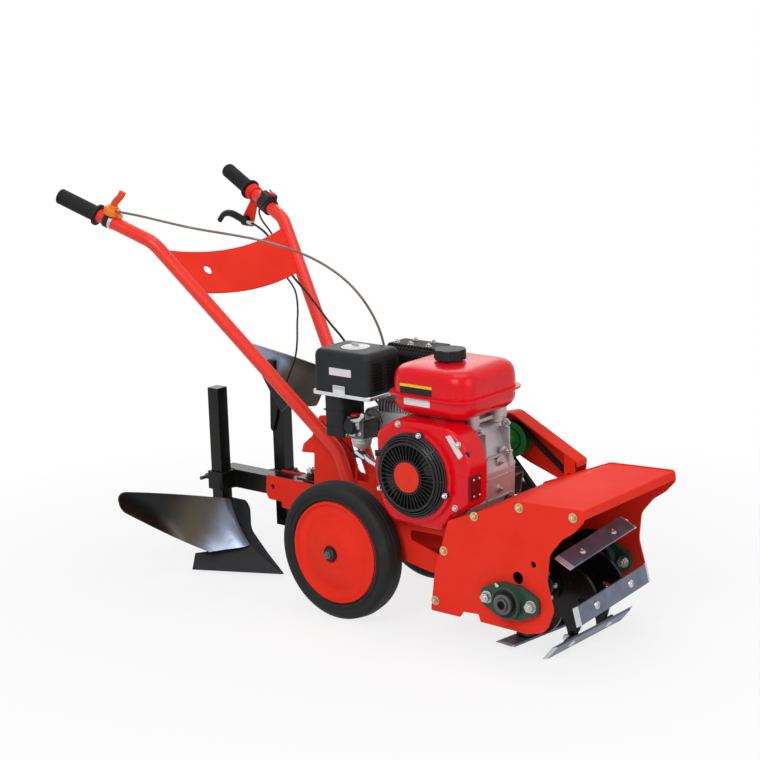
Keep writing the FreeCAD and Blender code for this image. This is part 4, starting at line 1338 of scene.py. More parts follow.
@dataclass
class Chassis:
    """Frame sides, engine bed, drawbar clamp and rotor housing."""

    studs: Sequence[float] = (-206, -172)
    housing_half: float = 160.0
    housing_bolts: Route = ((337, 263), (439, 296), (556, 297), (264, 183), (241, 80))

    def clamp(self) -> None:
        """Black strap across the drawbar with two studs and nuts."""
        strap = prism([(-56, -20.5, 3), (56, -20.5, 3), (56, 20.5, 3), (-56, 20.5, 3)], 5.5, 0.8)
        parts: list[Part] = [(put(strap, mm(-176, 0, 212.5)), Finishes.BLACK)]
        for x in self.studs:
            stud = lathe([(0, 0), (6, 0), (6, 27, 1), (0, 27)], 24)
            parts.append((put(stud, mm(x, 0, 213)), Finishes.WHITE_ZINC))
            parts.append((put(hex_bolt(19, 7, 13), mm(x, 0, 218)), Finishes.DARK_STEEL))
            parts.append((put(hex_bolt(19, 7), mm(x, 0, 230.5)), Finishes.WHITE_ZINC))
        piece("drawbar_clamp_strap", Body.FRAME, parts, ["drawbar_clamp"])

    def welds(self) -> Mesh:
        """Weld beads where the handle feet, the cheeks and the bed meet.

        Returns:
            The beads.
        """
        runs = []
        for side in (-1, 1):
            runs.append([mm(-62 + 0.5 * k, side * 26, 232 + k * 6) for k in range(8)])
            runs.append([mm(30 + 28 * k, side * 26, 208) for k in range(8)])
            runs.append([mm(-262 + 24 * k, side * 20.5, 155) for k in range(8)])
        return together(tube(smooth_line(run, 3), 0.0024, 8) for run in runs)

    def build(self) -> None:
        """All of it."""
        sides = ["frame_side_right", "frame_side_left", "frame_webs", "engine_bed"]
        eased_nodes(Body.FRAME, Finishes.ORANGE, sides, SHEET_EDGE)
        self.clamp()
        eased_nodes(Body.FRAME, Finishes.ORANGE,
                    ["rotor_side_right", "rotor_side_left", "rotor_cover"], SHEET_EDGE)
        heads = [fastened(hex_bolt(11, 4.5, 9), [(x, side * self.housing_half, z) for x,
                                                 z in self.housing_bolts],
                          (0, side, 0)) for side in (-1, 1)]
        piece("housing_bolts", Body.FRAME, [(head, Finishes.ZINC) for head in heads])
        piece("frame_welds", Body.FRAME, [(self.welds(), Finishes.ORANGE)])


@dataclass
class Handles:
    """Handle tubes, grips, cross panel and the hand controls."""

    end: Sequence[float] = (-645.0, 251.0, 813.0)
    bend: Sequence[float] = (-437.0, 197.5, 725.0)
    pivot: Sequence[float] = (-572, 226, 709)
    bore: float = 14.05
    throttle_at: float = 122.0
    switch_at: float = 150.0

    def along(self, distance: float, side: int) -> Vector:
        """Place on a handle's upper run.

        Args:
            distance: From its free end, in millimetres.
            side: 1 for the left handle, -1 for the right.

        Returns:
            The place in metres.
        """
        end, bend = Vector(self.end), Vector(self.bend)
        at = end + (bend - end).normalized() * distance
        return mm(at.x, side * at.y, at.z)

    def ways(self, side: int) -> tuple[Vector, Vector, Vector]:
        """Directions on a handle's upper run.

        Args:
            side: 1 for the left handle, -1 for the right.

        Returns:
            Along it, up from it and across it.
        """
        run = (self.along(100, side) - self.along(0, side)).normalized()
        across = run.cross(UP).normalized()
        return run, across.cross(run).normalized(), across

    def grips(self) -> None:
        """Ribbed sleeves with a flange and a domed end."""
        for side, word in ((-1, "right"), (1, "left")):
            profile: list[Corner] = [(0, 0), (16.4, 0, 3), (16.4, 5, 0.5)]
            for k in range(13):
                low = 7 + 6.2 * k
                profile += [(16.4, low, 0.4), (15.2, low + 0.8, 0.4), (15.2, low + 2.6, 0.4),
                            (16.4, low + 3.4, 0.4)]
            profile += [(16.4, 92, 1.5), (22.8, 95.5, 1.2), (22.8, 100.5, 1.2), (self.bore, 101)]
            cap = lathe(profile, 48, steps=2)
            piece("grip_" + word + "_rubber", Body.FRAME,
                  [(put(cap, self.along(-5, side), self.ways(side)[0]), Finishes.RUBBER)], ["grip_" + word])

    def throttle(self) -> None:
        """Clamp, round orange housing and the curved thumb lever."""
        run, up, across = self.ways(-1)
        base = self.along(self.throttle_at, -1)
        band = lathe([(self.bore, 0, 0.3), (16.5, 0, 1), (16.5, 11, 1), (self.bore, 11, 0.3)], 40, closed=True)
        clip = lathe([(self.bore, 0, 0.3), (15.6, 0, 0.6), (15.6, 8, 0.6), (self.bore, 8, 0.3)], 40,
                     closed=True)
        plate = block(26, 22, 5, 1.2)
        drum = lathe([(0, 0), (17, 0), (18.5, 3, 1.5), (18.5, 11, 3), (15, 15.5, 3), (0, 16.5)], 48)
        knob = lathe([(0, 0), (10.5, 0), (10.5, 5, 2), (0, 5.4)], 32)
        spout = tube([base + up * 0.018 + run * 0.012, base + up * 0.018 + run * 0.024 - across * 0.002],
                     0.0055)
        lever = tube(smooth_line([base + up * 0.026 - run * 0.002, base + up * 0.042 + run * 0.001,
                                  base + up * 0.057 + run * 0.008, base + up * 0.070 + run * 0.011]), 0.0072,
                     16, 0.5)
        parts = [(put(band, self.along(self.throttle_at - 9, -1), run), Finishes.PLASTIC),
                 (put(clip, self.along(self.throttle_at + 3, -1), run), Finishes.WHITE_ZINC),
                 (put(plate, base + up * 0.0125, up), Finishes.PLASTIC),
                 (put(drum, base + up * 0.014, up), Finishes.ORANGE_PLASTIC),
                 (put(knob, base + up * 0.0295, up), Finishes.ORANGE_PLASTIC), (spout, Finishes.ORANGE_PLASTIC),
                 (lever, Finishes.THUMB_ORANGE),
                 (put(hex_bolt(7, 3), self.along(self.throttle_at + 7, -1) - across * 0.0155, -across),
                  Finishes.CHROME)]
        piece("throttle_thumb_lever", Body.FRAME, parts, ["throttle_lever"])

    def switch(self) -> None:
        """Black switch case with a red button and a grey rocker."""
        run, up, across = self.ways(1)
        start = self.along(self.switch_at, 1) + run * 0.017
        case = prism([(-17, -13, 4), (17, -13, 4), (17, 13, 4), (-17, 13, 4)], 20, 1.5)
        turn = Matrix((run, across, up)).transposed().to_4x4()
        case.transform(Matrix.Translation(start + up * 0.008) @ turn @ TO_METRES)
        ring = lathe([(self.bore, 0, 0.3), (19, 0, 1.5), (19, 34, 1.5), (self.bore, 34, 0.3)], 44, closed=True)
        button = lathe([(0, 0), (6.5, 0), (6.5, 5.5, 1.6), (0, 6)], 32)
        rocker = block(4, 14, 3, 0.8)
        parts = [(case, Finishes.PLASTIC), (put(ring, self.along(self.switch_at, 1), run), Finishes.PLASTIC),
                 (put(button, start + up * 0.028 + run * 0.007, up), Finishes.BUTTON),
                 (put(rocker, start + up * 0.028 - run * 0.008, up), Finishes.CHROME)]
        piece("stop_switch", Body.FRAME, parts, ["kill_switch"])

    def clutch(self) -> None:
        """Hanging bracket, and the arched hand lever on its pin."""
        bracket = [(from_cad("clutch_bracket"), Finishes.ORANGE)]
        x, y, z = self.pivot
        for at in ((x, y + 4, z), (-556, y + 4, 752)):
            bracket.append((put(hex_bolt(9, 4, 7), mm(*at), LEFT), Finishes.WHITE_ZINC))
        piece("clutch_lever_bracket", Body.FRAME, bracket, ["clutch_bracket"])
        hub = lathe([(0, 0), (11, 0), (11, 12, 1.2), (0, 12)], 36)
        line = smooth_line([mm(x + 8, y - 6, z - 6), mm(x - 18, y - 6, z + 5), mm(x - 44, y - 6, z + 13),
                            mm(x - 65, y - 6, z + 10), mm(x - 80, y - 6, z - 5)])
        blade = tube(line, 0.0085, 18, 0.72)
        nipple = tube([mm(x + 10, y - 9, z - 3), mm(x + 25, y - 10, z - 5)], 0.0045)
        parts = [(put(hub, mm(x, y - 12, z), LEFT), Finishes.BLACK), (blade, Finishes.BLACK),
                 (nipple, Finishes.WHITE_ZINC)]
        piece("clutch_hand_lever", Body.FRAME, parts, ["clutch_lever"])

    def build(self) -> None:
        """All of it."""
        dress("handlebar_right", Finishes.TUBE_ORANGE)
        dress("handlebar_left", Finishes.TUBE_ORANGE)
        eased_nodes(Body.FRAME, Finishes.ORANGE, ["cross_panel"], BAR_EDGE)
        self.grips()
        self.throttle()
        self.switch()
        self.clutch()


# ---------------------------------------------------------------- engine

def box_of(x0: float, x1: float, z0: float, z1: float, radius: float = 0.0) -> list[Corner]:
    """Corners of an upright rectangle.

    Args:
        x0: Its low side along the first axis.
        x1: Its high side.
        z0: Its bottom.
        z1: Its top.
        radius: Radius of its corners; none leaves them sharp.

    Returns:
        The corners.
    """
    corners = [(x0, z0), (x1, z0), (x1, z1), (x0, z1)]
    return [(*corner, radius) for corner in corners] if radius else corners


@dataclass
class Engine:
    """Petrol engine: crankcase, finned cylinder, shroud, starter, tank, filter, carburettor and muffler."""

    crank: Sequence[float] = (191.0, 319.0)
    shroud_face: float = -150.0
    starter_base: float = -158.0
    cover_face: float = 76.0
    bed_top: float = 213.0
    fin_count: int = 13
    starter_fins: int = 40
    shroud_screws: Route = ((154, 413), (296, 392), (286, 268), (122, 262))
    crankcase_bolts: Route = ((-49, 392), (40, 391), (32, 337), (18, 318), (14, 264), (-60, 262))

    def crankcase(self) -> None:
        """Crankcase with its front brackets, side cover, bolts and drain plugs, and the finned cylinder."""
        case = slab([(110, 220, 6), (266, 220, 8), (268.5, 300, 24), (243, 395, 20), (110, 395, 10)], -92, 70,
                    2, 8)
        cover = slab([(124, 226, 20), (256, 226, 20), (262, 300, 24), (240, 386, 24), (124, 386, 16)], 69, 76,
                     2.5, 8)
        foot = slab([(112, 212, 4), (268, 212, 4), (268, 222, 3), (112, 222, 3)], -88, 74, 1.2)
        nose = put(lathe([(0, 0), (40, 0), (38, 8, 2), (30, 19, 4), (0, 19)], 48),
                   mm(self.crank[0], self.cover_face, self.crank[1]), LEFT)
        slope = slab([(60, 212), (112, 212), (112, 300), (96, 300, 10)], -40, 60, 1.0)
        ribs = [wall(box_of(y - 2.5, y + 2.5, 232, 380, 1), 240, 269.5, 0.8) for y in (-26, 50)]
        ribs += [wall(box_of(-82, 62, z - 2, z + 2, 1), 248, 269.5, 0.8) for z in (246, 288, 330)]
        bracket = [slab([(226, 392, 2), (262, 392, 2), (266, 404, 2), (266, 426, 3), (230, 426, 3)], y - 14,
                        y + 14, 1.5)
                   for y in (-55, 34)]
        web = slab([(236, 404, 2), (262, 404, 2), (262, 412, 2), (236, 412, 2)], -42, 22, 1)
        lug = [put(lathe([(0, 0), (9, 0), (9, 6, 1), (0, 6)], 24), mm(264, y, z), AHEAD)
               for y, z in self.crankcase_bolts]
        alloy = together([case, cover, foot, nose, slope, web] + ribs + bracket + lug)
        heads = fastened(hex_bolt(9, 4.5, 7), [(270, y, z) for y, z in self.crankcase_bolts], (1, 0, 0))
        rim = [(130, 240), (252, 240), (256, 300), (236, 374), (136, 374), (126, 306)]
        heads_left = fastened(hex_bolt(9, 4.5, 6.5), [(x, self.cover_face, z) for x, z in rim], (0, 1, 0))
        plug = put(lathe([(0, 0), (13, 0), (13, 4, 1), (10, 5), (10, 14, 2), (0, 14)], 32),
                   mm(240, self.cover_face, 252), Vector((0.3, 1, 0)))
        dark = put(hex_bolt(15, 6, 10), mm(268.5, 40, 236), AHEAD)
        nuts = fastened(hex_bolt(13, 6, 10), [(x, y, self.bed_top) for x in (121, 231) for y in (-70, 70)],
                        (0, 0, 1))
        piece("engine_crankcase", Body.FRAME,
              [(alloy, Finishes.ALLOY), (heads, Finishes.WHITE_ZINC), (heads_left, Finishes.WHITE_ZINC),
               (plug, Finishes.PLASTIC), (dark, Finishes.DARK_STEEL), (nuts, Finishes.WHITE_ZINC),
               *self.cylinder()], ["engine_block"])

    def cylinder(self) -> list[Part]:
        """Cylinder and head with cooling fins, the spark plug and its lead.

        Returns:
            The parts.
        """
        core = slab([(-8, 346, 8), (110, 312), (110, 398), (-8, 398, 8)], -40, 54, 1.5)
        head = slab([(-10, 342, 6), (4, 338, 6), (4, 405, 8), (-10, 402, 8)], -50, 64, 1.5)
        fin = prism([(-51, -35, 8), (65, -35, 8), (65, 35, 8), (-51, 35, 8)], 2.2, 0.5, 3)
        fins = Repeats.spots(fin, [(mm(10 + 88 * k / (self.fin_count - 1), 0,
                                       372 - 12 * k / (self.fin_count - 1)),
                                    AHEAD) for k in range(self.fin_count)])
        bolts = fastened(hex_bolt(11, 5, 8), [(-10, y, z) for y in (-38, 52) for z in (352, 392)], (-1, 0, 0))
        boot = tube(smooth_line([mm(-10, 20, 366), mm(-26, 20, 372), mm(-34, 26, 386), mm(-30, 36, 402)]),
                    0.0075, 16)
        return [(together([core, head, fins]), Finishes.ALLOY), (bolts, Finishes.WHITE_ZINC),
                (boot, Finishes.PLASTIC)]

    def shroud(self) -> None:
        """Fan shroud with its screws, stop button and blank switch box."""
        shell = from_cad("fan_shroud", 0.0015)
        screws = fastened(hex_bolt(9, 4, 6.5), [(x, self.shroud_face, z) for x, z in self.shroud_screws],
                          (0, -1, 0))
        button = put(lathe([(0, 0), (9, 0), (9, 3, 0.6), (6.5, 3.4), (6.5, 9, 2), (0, 9)], 32),
                     mm(303, -138, 372), Vector((0.75, -0.66, 0)))
        case = slab(box_of(296, 319.5, 284, 334, 4), -147, -112, 3)
        panel = wall(box_of(-141, -118, 289, 329, 3), 319, 321.5, 1)
        dots = fastened(pan_screw(2.6), [(321, y, z) for y in (-138, -121) for z in (293, 325)], (1, 0, 0))
        plate = label([(266, 404, 1), (278, 408, 1), (306, 372, 1), (296, 364, 1)], self.shroud_face)
        piece("fan_shroud_pressed", Body.FRAME,
              [(shell, Finishes.RED), (screws, Finishes.WHITE_ZINC), (button, Finishes.PLASTIC),
               (case, Finishes.DARK_RED), (panel, Finishes.DARK_RED), (dots, Finishes.WHITE_ZINC),
               (plate, Finishes.LABEL)], ["fan_shroud"])

    def starter(self) -> None:
        """Recoil starter: dished face with radial fins, ribbed side wall, red middle and three screws."""
        floor = lathe([(0, 0), (83, 0, 0.5), (83, 3.5, 1), (77, 5, 1), (67, 13, 2), (66.5, 17.5, 1),
                       (62.5, 17.5, 1), (61.5, 9.5), (32, 9.5), (31.5, 18, 1), (0, 18)], 96)
        ribs = [lathe([(r - 1, h - 3), (r + 1, h - 4.2), (r + 1.3, h + 0.4, 0.5), (r - 0.9, h + 1.6, 0.5)], 96,
                      True, 2)
                for r, h in ((71, 12.4), (75, 9.6), (79, 6.8))]
        fin = prism([(-15.2, -0.7), (15.2, -0.7), (15.2, 0.7), (-15.2, 0.7)], 8.2, 0.3)
        bmesh.ops.translate(fin, verts=fin.verts, vec=(0, 0, 9.3))
        spoke = prism([(-9, 3), (9, -8), (9, -4.8), (-9, 6.6)], 2.0, 0.4)
        spoke.transform(Matrix.Rotation(math.pi / 2, 4, "X"))
        bmesh.ops.translate(spoke, verts=spoke.verts, vec=(0, 1, 9.5))
        lip = lathe([(32, 9), (34, 9), (34, 17.6, 0.8), (32, 17.6, 0.8)], 64, True, 2)
        black = together([floor, *ribs, Repeats.ring(fin, self.starter_fins, 47.4), Repeats.ring(spoke, 8, 74),
                          lip])
        disc = lathe([(0, 17.5), (29.4, 17.5), (29.4, 19.2, 0.8), (0, 19.6)], 64)
        face = mm(self.crank[0], self.starter_base, self.crank[1])
        out = RIGHT
        ears, screws = [], []
        for degrees in (75, -18, 205):
            angle = math.radians(degrees)
            at = face + Vector((math.cos(angle), 0, math.sin(angle))) * 0.0845
            ears.append(put(lathe([(0, 0), (7.5, 0), (7.5, 4, 0.8), (0, 4)], 28), at, out))
            screws.append(put(hex_bolt(8, 4, 5.5), at + out * 0.004, out))
        grip = tube([mm(121, -152, 352), mm(112, -158, 352), mm(106, -164, 352)], 0.006, 16)
        piece("recoil_starter_cover", Body.FRAME,
              [(put(black, face, out), Finishes.PLASTIC_GLOSS), (put(disc, face, out), Finishes.STARTER_RED),
               (together(ears), Finishes.PLASTIC_GLOSS), (together(screws), Finishes.CHROME),
               (grip, Finishes.PLASTIC)], ["recoil_starter"])

    def tank(self) -> None:
        """Two pressed shells with a seam, on short posts, with two blank plates."""
        size = (102, 306, -140, 70)
        lower = stack([(424, 42, 12), (424.8, 33, 18), (428, 24, 26), (435, 15.5, 33), (443, 10.6, 38),
                       (451, 9.1, 40), (464, 9, 41)], size, 12)
        seam = stack([(463.4, 3, 40), (464.4, 0.8, 42), (467.2, 0.8, 42), (468.2, 3, 40)], size, 12)
        shoulder = [(468, 8, 42), (484, 8, 42), (497, 9, 42), (505.5, 11, 41), (511.5, 14.4, 39),
                    (516, 19.6, 36), (519.3, 28, 30), (521.6, 41, 23), (523.2, 58, 14), (524.0, 76, 8)]
        upper = stack(shoulder, size, 12)
        posts = together(put(lathe([(0, 0), (12, 0), (12, 28), (0, 28)], 32), mm(x, y, 398))
                         for x, y in ((150, 20), (260, 20), (262, -60)))
        strip = label(box_of(146, 222, 483.5, 489, 1.2), -131.9)
        dark = label(box_of(146, 222, 470, 483.4, 1.2), -131.9)
        pale = label(box_of(154, 216, 448, 461.5, 2), -130.8)
        piece("fuel_tank_shells", Body.FRAME,
              [(lower, Finishes.RED), (seam, Finishes.RED), (upper, Finishes.RED), (posts, Finishes.ALLOY),
               (strip, Finishes.LABEL_YELLOW), (dark, Finishes.PLASTIC), (pale, Finishes.LABEL)], ["fuel_tank"])
        eased_nodes(Body.FRAME, Finishes.PLASTIC, ["fuel_cap"], BAR_EDGE)

    def air_filter(self) -> None:
        """Filter case with dark slits painted as the shade in its louvres, latch, blank label, top disc and
        wing nut, on its bright tray.
        """
        size = (-84, 58, -122, -14)
        case = stack([(446, 0.5, 13), (448, 0, 14), (516, 0.6, 14), (522, 1.8, 13.5), (526, 4.2, 12.5),
                      (528.6, 8, 11), (530, 14, 9)], size, 8)
        # painted shade: thin near-black slits stand in for the shade inside the louvre openings
        louvre_shade_slits = []
        for y in (-92, -48):
            shade_slits = Repeats.grid(prism(box_of(-14, 14, -1.6, 1.6, 1.4), 1.6, 0.6), 1, 9, 0.0, 52)
            shade_slits.transform(Matrix.Translation(mm(57.8, y, 482)) @ YZ_UPRIGHT @ TO_METRES)
            louvre_shade_slits.append(shade_slits)
        latch = slab([(-28, 440, 1), (3, 440, 1), (3, 463, 2), (-28, 463, 2)], -127.5, -121, 1)
        hook = slab(box_of(-25, 0, 455, 461, 1), -129, -126, 0.6)
        sticker = label(box_of(-40, 16, 481, 496, 1), -122.0)
        disc = put(lathe([(0, 0), (29, 0), (29, 1.5, 0.6), (20, 3.4), (0, 4)], 56), mm(-14, -70, 529.5))
        wing = slab([(-24, 533), (-4, 533), (-6, 539, 1.5), (-11, 537), (-14, 540, 1.5), (-17, 537),
                     (-22, 539, 1.5)],
                    -71.5, -68.5, 0.7)
        parts = [(case, Finishes.PLASTIC), (together(louvre_shade_slits), Finishes.SHADOW), (latch, Finishes.CHROME),
                 (hook, Finishes.WHITE_ZINC), (sticker, Finishes.LABEL), (disc, Finishes.ALLOY),
                 (wing, Finishes.WHITE_ZINC)]
        piece("air_filter_case", Body.FRAME, parts, ["air_filter"])
        tray = stack([(438, 1.5, 13), (439, 0.2, 14), (444.6, 0, 14), (446, 1.2, 13)], (-88, 62, -126, -10), 8)
        elbow = stack([(350, 3, 6), (351, 1, 8), (354, 0, 9), (438, 0, 9)], (-70, -22, -108, -34), 6)
        ribs = together(slab(box_of(-71, -21, z - 1.2, z + 1.2), -109, -60, 0.6) for z in (372, 404))
        piece("filter_tray_and_elbow", Body.FRAME,
              [(tray, Finishes.CHROME), (elbow, Finishes.PLASTIC), (ribs, Finishes.PLASTIC)], ["filter_base"])

    def carburettor(self) -> None:
        """Cast body, float bowl, choke lever, tap and governor wires."""
        away = RIGHT
        body = slab([(-22, 352, 4), (22, 352, 4), (24, 388, 6), (-20, 396, 6)], -98, -52, 1.5)
        throat = put(lathe([(0, 0), (17, 0), (17, 5, 1), (12.5, 6), (12.5, 12, 1), (0, 12)], 36),
                     mm(-6, -98, 376), away)
        window = together([slab(box_of(-6, 16, 372, 390, 2), -103, -97, 1),
                           slab(box_of(-12, 4, 356, 366, 2), -102, -97, 1),
                           put(pan_screw(4), mm(14, -98, 362), away),
                           put(pan_screw(3), mm(10, -103, 381), away)])
        bowl = put(lathe([(0, 0), (8, 0), (10, 1.5, 1), (17, 6, 3), (19.5, 14, 2), (19.5, 20, 1),
                          (21.5, 20, 0.6), (21.5, 25, 0.6), (0, 25)], 48), mm(0, -76, 326))
        drain = put(hex_bolt(8, 4), mm(0, -76, 326.5), Vector((0, 0, -1)))
        knob = put(lathe([(0, 0), (5, 0), (5.5, 6, 1), (4, 12, 1.5), (0, 12.5)], 24), mm(-22, -92, 356),
                   Vector((-0.7, -0.7, 0)))
        red = put(lathe([(0, 0), (9, 0), (9, 4, 1), (0, 4.4)], 28), mm(-6, -88, 395))
        arm = slab([(-2, 384, 2), (20, 390, 2), (34, 404, 3), (30, 408, 3), (16, 396, 3), (-4, 391, 2)], -106,
                   -103.5, 0.6)
        tap = put(prism([(-13, -7, 6), (13, -7, 6), (13, 7, 6), (-13, 7, 6)], 10, 2.5), mm(24, -112, 326),
                  Vector((0.25, -0.9, 0.2)))
        lever = slab([(20, 331, 2), (44, 320, 2), (46, 326, 2), (24, 338, 2)], -126, -121, 1)
        pipe = tube(smooth_line([mm(40, -116, 325), mm(58, -122, 319), mm(78, -126, 314)]), 0.0055, 14)
        hose = tube(smooth_line([mm(78, -126, 314), mm(92, -128, 312), mm(104, -126, 330), mm(106, -118, 360)]),
                    0.0045, 12)
        wires = ((0.0013, ((30, -104, 405), (52, -112, 420), (86, -128, 424), (112, -146, 408))),
                 (0.0011, ((28, -100, 398), (40, -110, 384), (66, -124, 372), (90, -136, 376))),
                 (0.0016, ((12, -96, 428), (30, -108, 432), (34, -112, 418), (30, -106, 406))))
        rods = together(tube(smooth_line([mm(*point) for point in run]), radius, 8) for radius, run in wires)
        choke = put(lathe([(0, 0), (5, 0), (5, 4, 1), (0, 4)], 20), mm(30, -106, 404), away)
        piece("carburettor_casting", Body.FRAME,
              [(body, Finishes.DARK_ALLOY), (throat, Finishes.PLASTIC), (window, Finishes.ALLOY),
               (bowl, Finishes.ALLOY), (drain, Finishes.WHITE_ZINC), (knob, Finishes.CHROME),
               (red, Finishes.BUTTON), (arm, Finishes.WHITE_ZINC), (tap, Finishes.PLASTIC),
               (lever, Finishes.CHROME), (pipe, Finishes.CHROME), (hose, Finishes.PLASTIC),
               (rods, Finishes.EXHAUST), (choke, Finishes.WHITE_ZINC)], ["carburettor"])

    def muffler(self) -> None:
        """Muffler shell behind a perforated guard."""
        inner = wall([(24, 443, 8), (97, 443, 8), (97, 500, 10), (84, 514, 10), (38, 514, 10), (24, 500, 10)],
                     -11, 96, 2, 6)
        pipe = put(lathe([(0, 0), (17, 0), (17, 40), (0, 40)], 32), mm(60, 50, 406))
        ends = together(wall([(18, 440, 3), (102, 440, 3), (102, 502, 5), (88, 520, 5), (34, 520, 5),
                              (18, 504, 5)],
                             x, x + 2.5, 0.8) for x in (-15, 97.5))
        top = put(prism([(-57, -27.5), (57, -27.5), (57, 27.5), (-57, 27.5)], 2.2, 0.8), mm(42.5, 61, 517.8))
        strips = together(slab(box_of(-14, 99, z0, z1), y0, y1, 0.6)
                          for z0, z1, y0, y1 in ((498, 505, 17.2, 19.6), (440, 449, 17.2, 19.6),
                                                 (440, 449, 100.4, 102.6), (496, 502, 100.4, 102.6)))
        parts: list[Part] = [(together([inner, pipe]), Finishes.EXHAUST),
                             (together([ends, top, strips]), Finishes.EXHAUST)]
        for rows, y, z, facing in ((7, 18.2, 473.5, RIGHT), (7, 101.6, 473.5, LEFT),
                                   (3, 26.0, 511.5, (0, -1, 1)), (3, 95.0, 510.5, (0, 1, 0.9))):
            panel = self.mesh_panel(14, rows, mm(42.5, y, z), Vector(facing).normalized())
            parts.append((panel, Finishes.EXHAUST))
        bolts = fastened(hex_bolt(8, 3.5, 6), [(0, 44, 520), (38, 40, 520), (80, 44, 520), (20, 80, 520),
                                               (66, 80, 520)],
                         (0, 0, 1))
        parts.append((bolts, Finishes.WHITE_ZINC))
        piece("muffler_guard", Body.FRAME, parts, ["muffler"])

    @staticmethod
    def mesh_panel(columns: int, rows: int, at: Vector, facing: Vector, pitch: float = 8.0) -> Mesh:
        """Perforated sheet: square tiles, each with a round hole.

        Args:
            columns: Tiles along X.
            rows: Tiles up the sheet.
            at: Its middle.
            facing: The way it looks.
            pitch: Side of a tile, in millimetres.

        Returns:
            The sheet.
        """
        tile = bmesh.new()
        half, hole, sides = pitch / 2, pitch * 0.31, 12
        levels = []
        for height in (0.0, 1.2):
            outer, inner = [], []
            for k in range(sides):
                angle = 2 * math.pi * (k + 0.5) / sides
                u, v = math.cos(angle), math.sin(angle)
                reach = half / max(abs(u), abs(v))
                outer.append(tile.verts.new((u * reach, v * reach, height)))
                inner.append(tile.verts.new((u * hole, v * hole, height)))
            levels.append((outer, inner))
        for k in range(sides):
            ahead = (k + 1) % sides
            (low_out, low_in), (high_out, high_in) = levels
            tile.faces.new((high_out[k], high_out[ahead], high_in[ahead], high_in[k]))
            tile.faces.new((low_out[ahead], low_out[k], low_in[k], low_in[ahead]))
            tile.faces.new((high_in[k], high_in[ahead], low_in[ahead], low_in[k]))
        sheet = Repeats.grid(tile, columns, rows, pitch * (columns - 1), pitch * (rows - 1))
        up = (UP - facing * facing.z).normalized()
        turn = Matrix((up.cross(facing), up, facing)).transposed().to_4x4()
        sheet.transform(Matrix.Translation(at - facing * 0.0006) @ turn @ TO_METRES)
        return sheet

    def build(self) -> None:
        """All of it."""
        self.crankcase()
        self.shroud()
        self.starter()
        self.tank()
        self.air_filter()
        self.carburettor()
        self.muffler()


# ---------------------------------------------------------------- belt drive and rotor

@dataclass
class BeltDrive:
    """Pulleys, V-belt, tensioner and the guard over them."""

    def build(self) -> None:
        """All of it."""
        piece("drive_pulley_cast", Body.FRAME,
              [(from_cad("drive_pulley", FINE_EDGE), Finishes.PULLEY_GREEN),
               (put(hex_bolt(13, 7, 13), mm(191, 188, 319), LEFT), Finishes.WHITE_ZINC)],
              ["drive_pulley"])
        piece("rotor_pulley_cast", Body.ROTOR,
              [(from_cad("rotor_pulley", FINE_EDGE), Finishes.PULLEY_GREEN)], ["rotor_pulley"])
        dress("belt", Finishes.BELT)
        eased_nodes(Body.FRAME, Finishes.DARK_STEEL, ["belt_tensioner"], FINE_EDGE)
        guard = [(from_cad("belt_guard", SHEET_EDGE), Finishes.GUARD_ORANGE),
                 (fastened(hex_bolt(10, 4, 8), [(180, 196, 350), (250, 196, 318), (318, 196, 284)], (0, 1, 0)),
                  Finishes.ZINC)]
        piece("belt_guard_channel", Body.FRAME, guard, ["belt_guard"])


